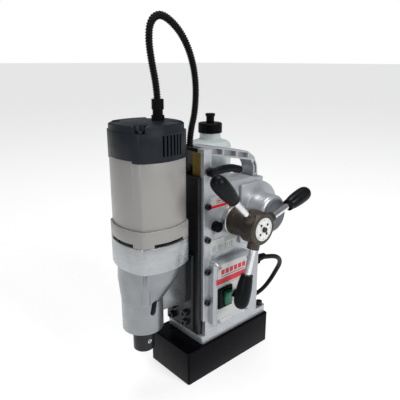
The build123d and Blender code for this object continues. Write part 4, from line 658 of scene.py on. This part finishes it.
def dial_face():
    """White graduated face of the hub's dial: fine ticks, four dark studs and a centre screw."""
    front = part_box("dial_disc")[0][1]
    centre = Vector((0.0, front, 0.225))
    ticks = 2 * pi * 35 / 36
    ring_of_marks("dial_ticks", centre, 13.4, 36, (1.3, 0.35, 0.12), FINISH["print_dark"], "capstan",
                  sweep=ticks)
    ring_of_marks("dial_long_ticks", centre, 12.8, 8, (2.4, 0.55, 0.14), FINISH["print_dark"], "capstan",
                  sweep=2 * pi * 7 / 8)
    for k in range(4):
        turn = radians(40 + 90 * k)
        place = centre + Vector((8.6 * MM * cos(turn), 0, 8.6 * MM * sin(turn)))
        disc_piece("dial_stud_%d" % (k + 1), place, 1.7, 0.8, "capstan", FINISH["black_steel"], 20)
    screw = centre - Vector((0, 1.5 * MM, 0))
    disc_piece("dial_centre_screw", screw, 3.4, 3.04, "capstan", FINISH["black_steel"])


def panel_prints():
    """Generic print on the switch label: a red band, thin rules, a row of red blocks and the speed scale."""
    y = PANEL_FACE_Y
    print_piece("panel_red_band", [(-39.6, 28.0, 141.2, 149.6)], y, FINISH["print_red"])
    print_piece("panel_rules", [(-38.5, 27.0, 138.9, 139.3), (-31.0, 14.0, 151.5, 152.6),
                                (13.0, 22.0, 132.5, 133.0), (13.0, 20.0, 129.8, 130.3),
                                (-38.0, -10.0, 87.4, 87.7)], y, FINISH["print_dark"])
    blocks = [(-31.0 + 8.2 * k, -24.6 + 8.2 * k, 154.6, 161.8) for k in range(6)]
    print_piece("panel_red_blocks", blocks, y, FINISH["print_red"])
    knob = Vector((-3.3 * MM, y, 118.0 * MM))
    ring_of_marks("speed_scale", knob, 9.2, 10, (1.6, 0.5, 0.12), FINISH["print_dark"], "stand",
                  start=radians(-45), sweep=radians(270))


def side_prints():
    """Generic print on the two labels of the stand: red band above, safety-sign shapes and rules below."""
    y = SIDE_FACE_Y
    print_piece("side_red_band", [(-39.8, 11.4, 247.0, 250.8)], y, FINISH["print_red"])
    dark_rules = [(-30.0, 6.0, 252.6, 253.3), (-30.0, 2.0, 258.6, 259.2)]
    print_piece("side_dark_rules", dark_rules, y, FINISH["print_dark"])
    print_piece("side_red_rule", [(-30.0, 4.0, 255.0, 256.8)], y, FINISH["print_red"])
    rules = [(-14.0, 8.5, 201.0 - 1.7 * k, 201.6 - 1.7 * k) for k in range(4)]
    print_piece("legend_rules", rules + [(-39.0, 9.0, 183.6, 183.9)], y, FINISH["print_dark"])
    for k, x in enumerate((-33.5, -22.5, -11.5, -0.5)):
        sign = Vector((x * MM, y, 189.8 * MM))
        ring_of_marks("legend_sign_%d" % (k + 1), sign, 3.5, 20, (0.5, 1.15, 0.12), FINISH["print_dark"],
                      "stand", sweep=2 * pi * 19 / 20)
        print_piece("legend_mark_%d" % (k + 1), [(x - 0.5, x + 0.5, 188.0, 191.6)], y, FINISH["print_dark"])


# ---------------------------------------------------------------- making everything
for name, obj in NODES.items():
    obj.data.materials.clear()
    obj.data.materials.append(FINISH[SLOT_OF[name]])
NODES["dial_disc"].data.materials[0] = FINISH["dial_white"]

for name, width, material in (
        ("stand_casting", 0.9, "silver_cast"), ("gear_case", 1.0, "machine_cast"), ("gear_cover", 0.9, "turned_cover"),
        ("baffle_ring", 0.7, "motor_grey"), ("motor_tube", 0.5, "motor_grey"), ("motor_cap", 0.8, "grey_cap"),
        ("carry_handle", 0.9, "silver_cast"), ("feed_housing", 0.8, "silver_cast"), ("feed_cap", 0.6, "mid_grey"),
        ("switch_panel", 1.0, "silver_cast"), ("magnet_base", 0.7, "black_paint"), ("top_plate", 0.8, "silver_cast"),
        ("mount_plate", 0.5, "black_steel"), ("slide_block", 0.6, "black_steel"), ("capstan_hub", 0.7, "bronze_steel"),
        ("switch_bezel", 0.5, "black_plastic"), ("rocker_switch", 0.6, "green_plastic"),
        ("lock_lever", 0.5, "grip_plastic"), ("arbor", 0.4, "black_steel"), ("bottle_bracket", 0.3, "black_steel")):
    softened(name, width * MM, material)

dial_face()
panel_prints()
side_prints()
power_lead()
motor_conduit()


# ---------------------------------------------------------------- floor and light
def plain_surface(name, colour, glow):
    """Matt pale sweep with a little glow of its own, so that it stays pale out of the lamps' reach."""
    finish = Finish(name, Roughness=0.9, Emission_Color=(1.0, 1.0, 1.0, 1.0), Emission_Strength=glow)
    mottle = finish.use(CAST_GRAIN, Grain_Size=40.0, Swell_Size=2.0)
    finish.feed(finish.mix(mottle.outputs["Patches"], colour, tuple(c * 0.99 for c in colour)), "Base Color")
    return finish.material


def floor():
    mesh = bpy.data.meshes.new("floor")
    reach = 60.0
    corners = [(-reach, -reach, 0), (reach, -reach, 0), (reach, reach, 0), (-reach, reach, 0)]
    mesh.from_pydata(corners, [], [(0, 1, 2, 3)])
    plane = link(bpy.data.objects.new("floor", mesh))
    mesh.materials.append(plain_surface("pale floor", (0.38, 0.38, 0.38), 0.68))


def softbox(name, place, target, size, power):
    light = bpy.data.lights.new(name, "AREA")
    light.shape, light.size, light.size_y, light.energy = "RECTANGLE", size[0], size[1], power
    lamp = link(bpy.data.objects.new(name, light))
    lamp.location = place
    lamp.rotation_euler = (Vector(target) - Vector(place)).to_track_quat("-Z", "Y").to_euler()


def studio():
    """White backdrop to the eye, a dimmer room for the reflections, and three soft boxes."""
    world = bpy.data.worlds.new("studio")
    world.use_nodes = True
    tree = world.node_tree
    room = tree.nodes["Background"]
    room.inputs["Color"].default_value = (0.96, 0.98, 1.0, 1.0)
    room.inputs["Strength"].default_value = ROOM_LIGHT
    backdrop = tree.nodes.new("ShaderNodeBackground")
    backdrop.inputs["Color"].default_value = (1.0, 1.0, 1.0, 1.0)
    choose, path = tree.nodes.new("ShaderNodeMixShader"), tree.nodes.new("ShaderNodeLightPath")
    tree.links.new(path.outputs["Is Camera Ray"], choose.inputs[0])
    tree.links.new(room.outputs[0], choose.inputs[1])
    tree.links.new(backdrop.outputs[0], choose.inputs[2])
    tree.links.new(choose.outputs[0], tree.nodes["World Output"].inputs["Surface"])
    bpy.context.scene.world = world
    bpy.context.scene.view_settings.view_transform = "Standard"
    middle = (0.0, 0.0, 0.2)
    softbox("key", (0.25, -1.7, 1.25), middle, (0.7, 0.7), 27.0)
    softbox("side_fill", (-1.7, -0.5, 0.9), middle, (0.5, 1.2), 7.5)
    softbox("top", (0.1, 0.2, 2.0), middle, (0.9, 0.9), 19.0)


floor()
studio()
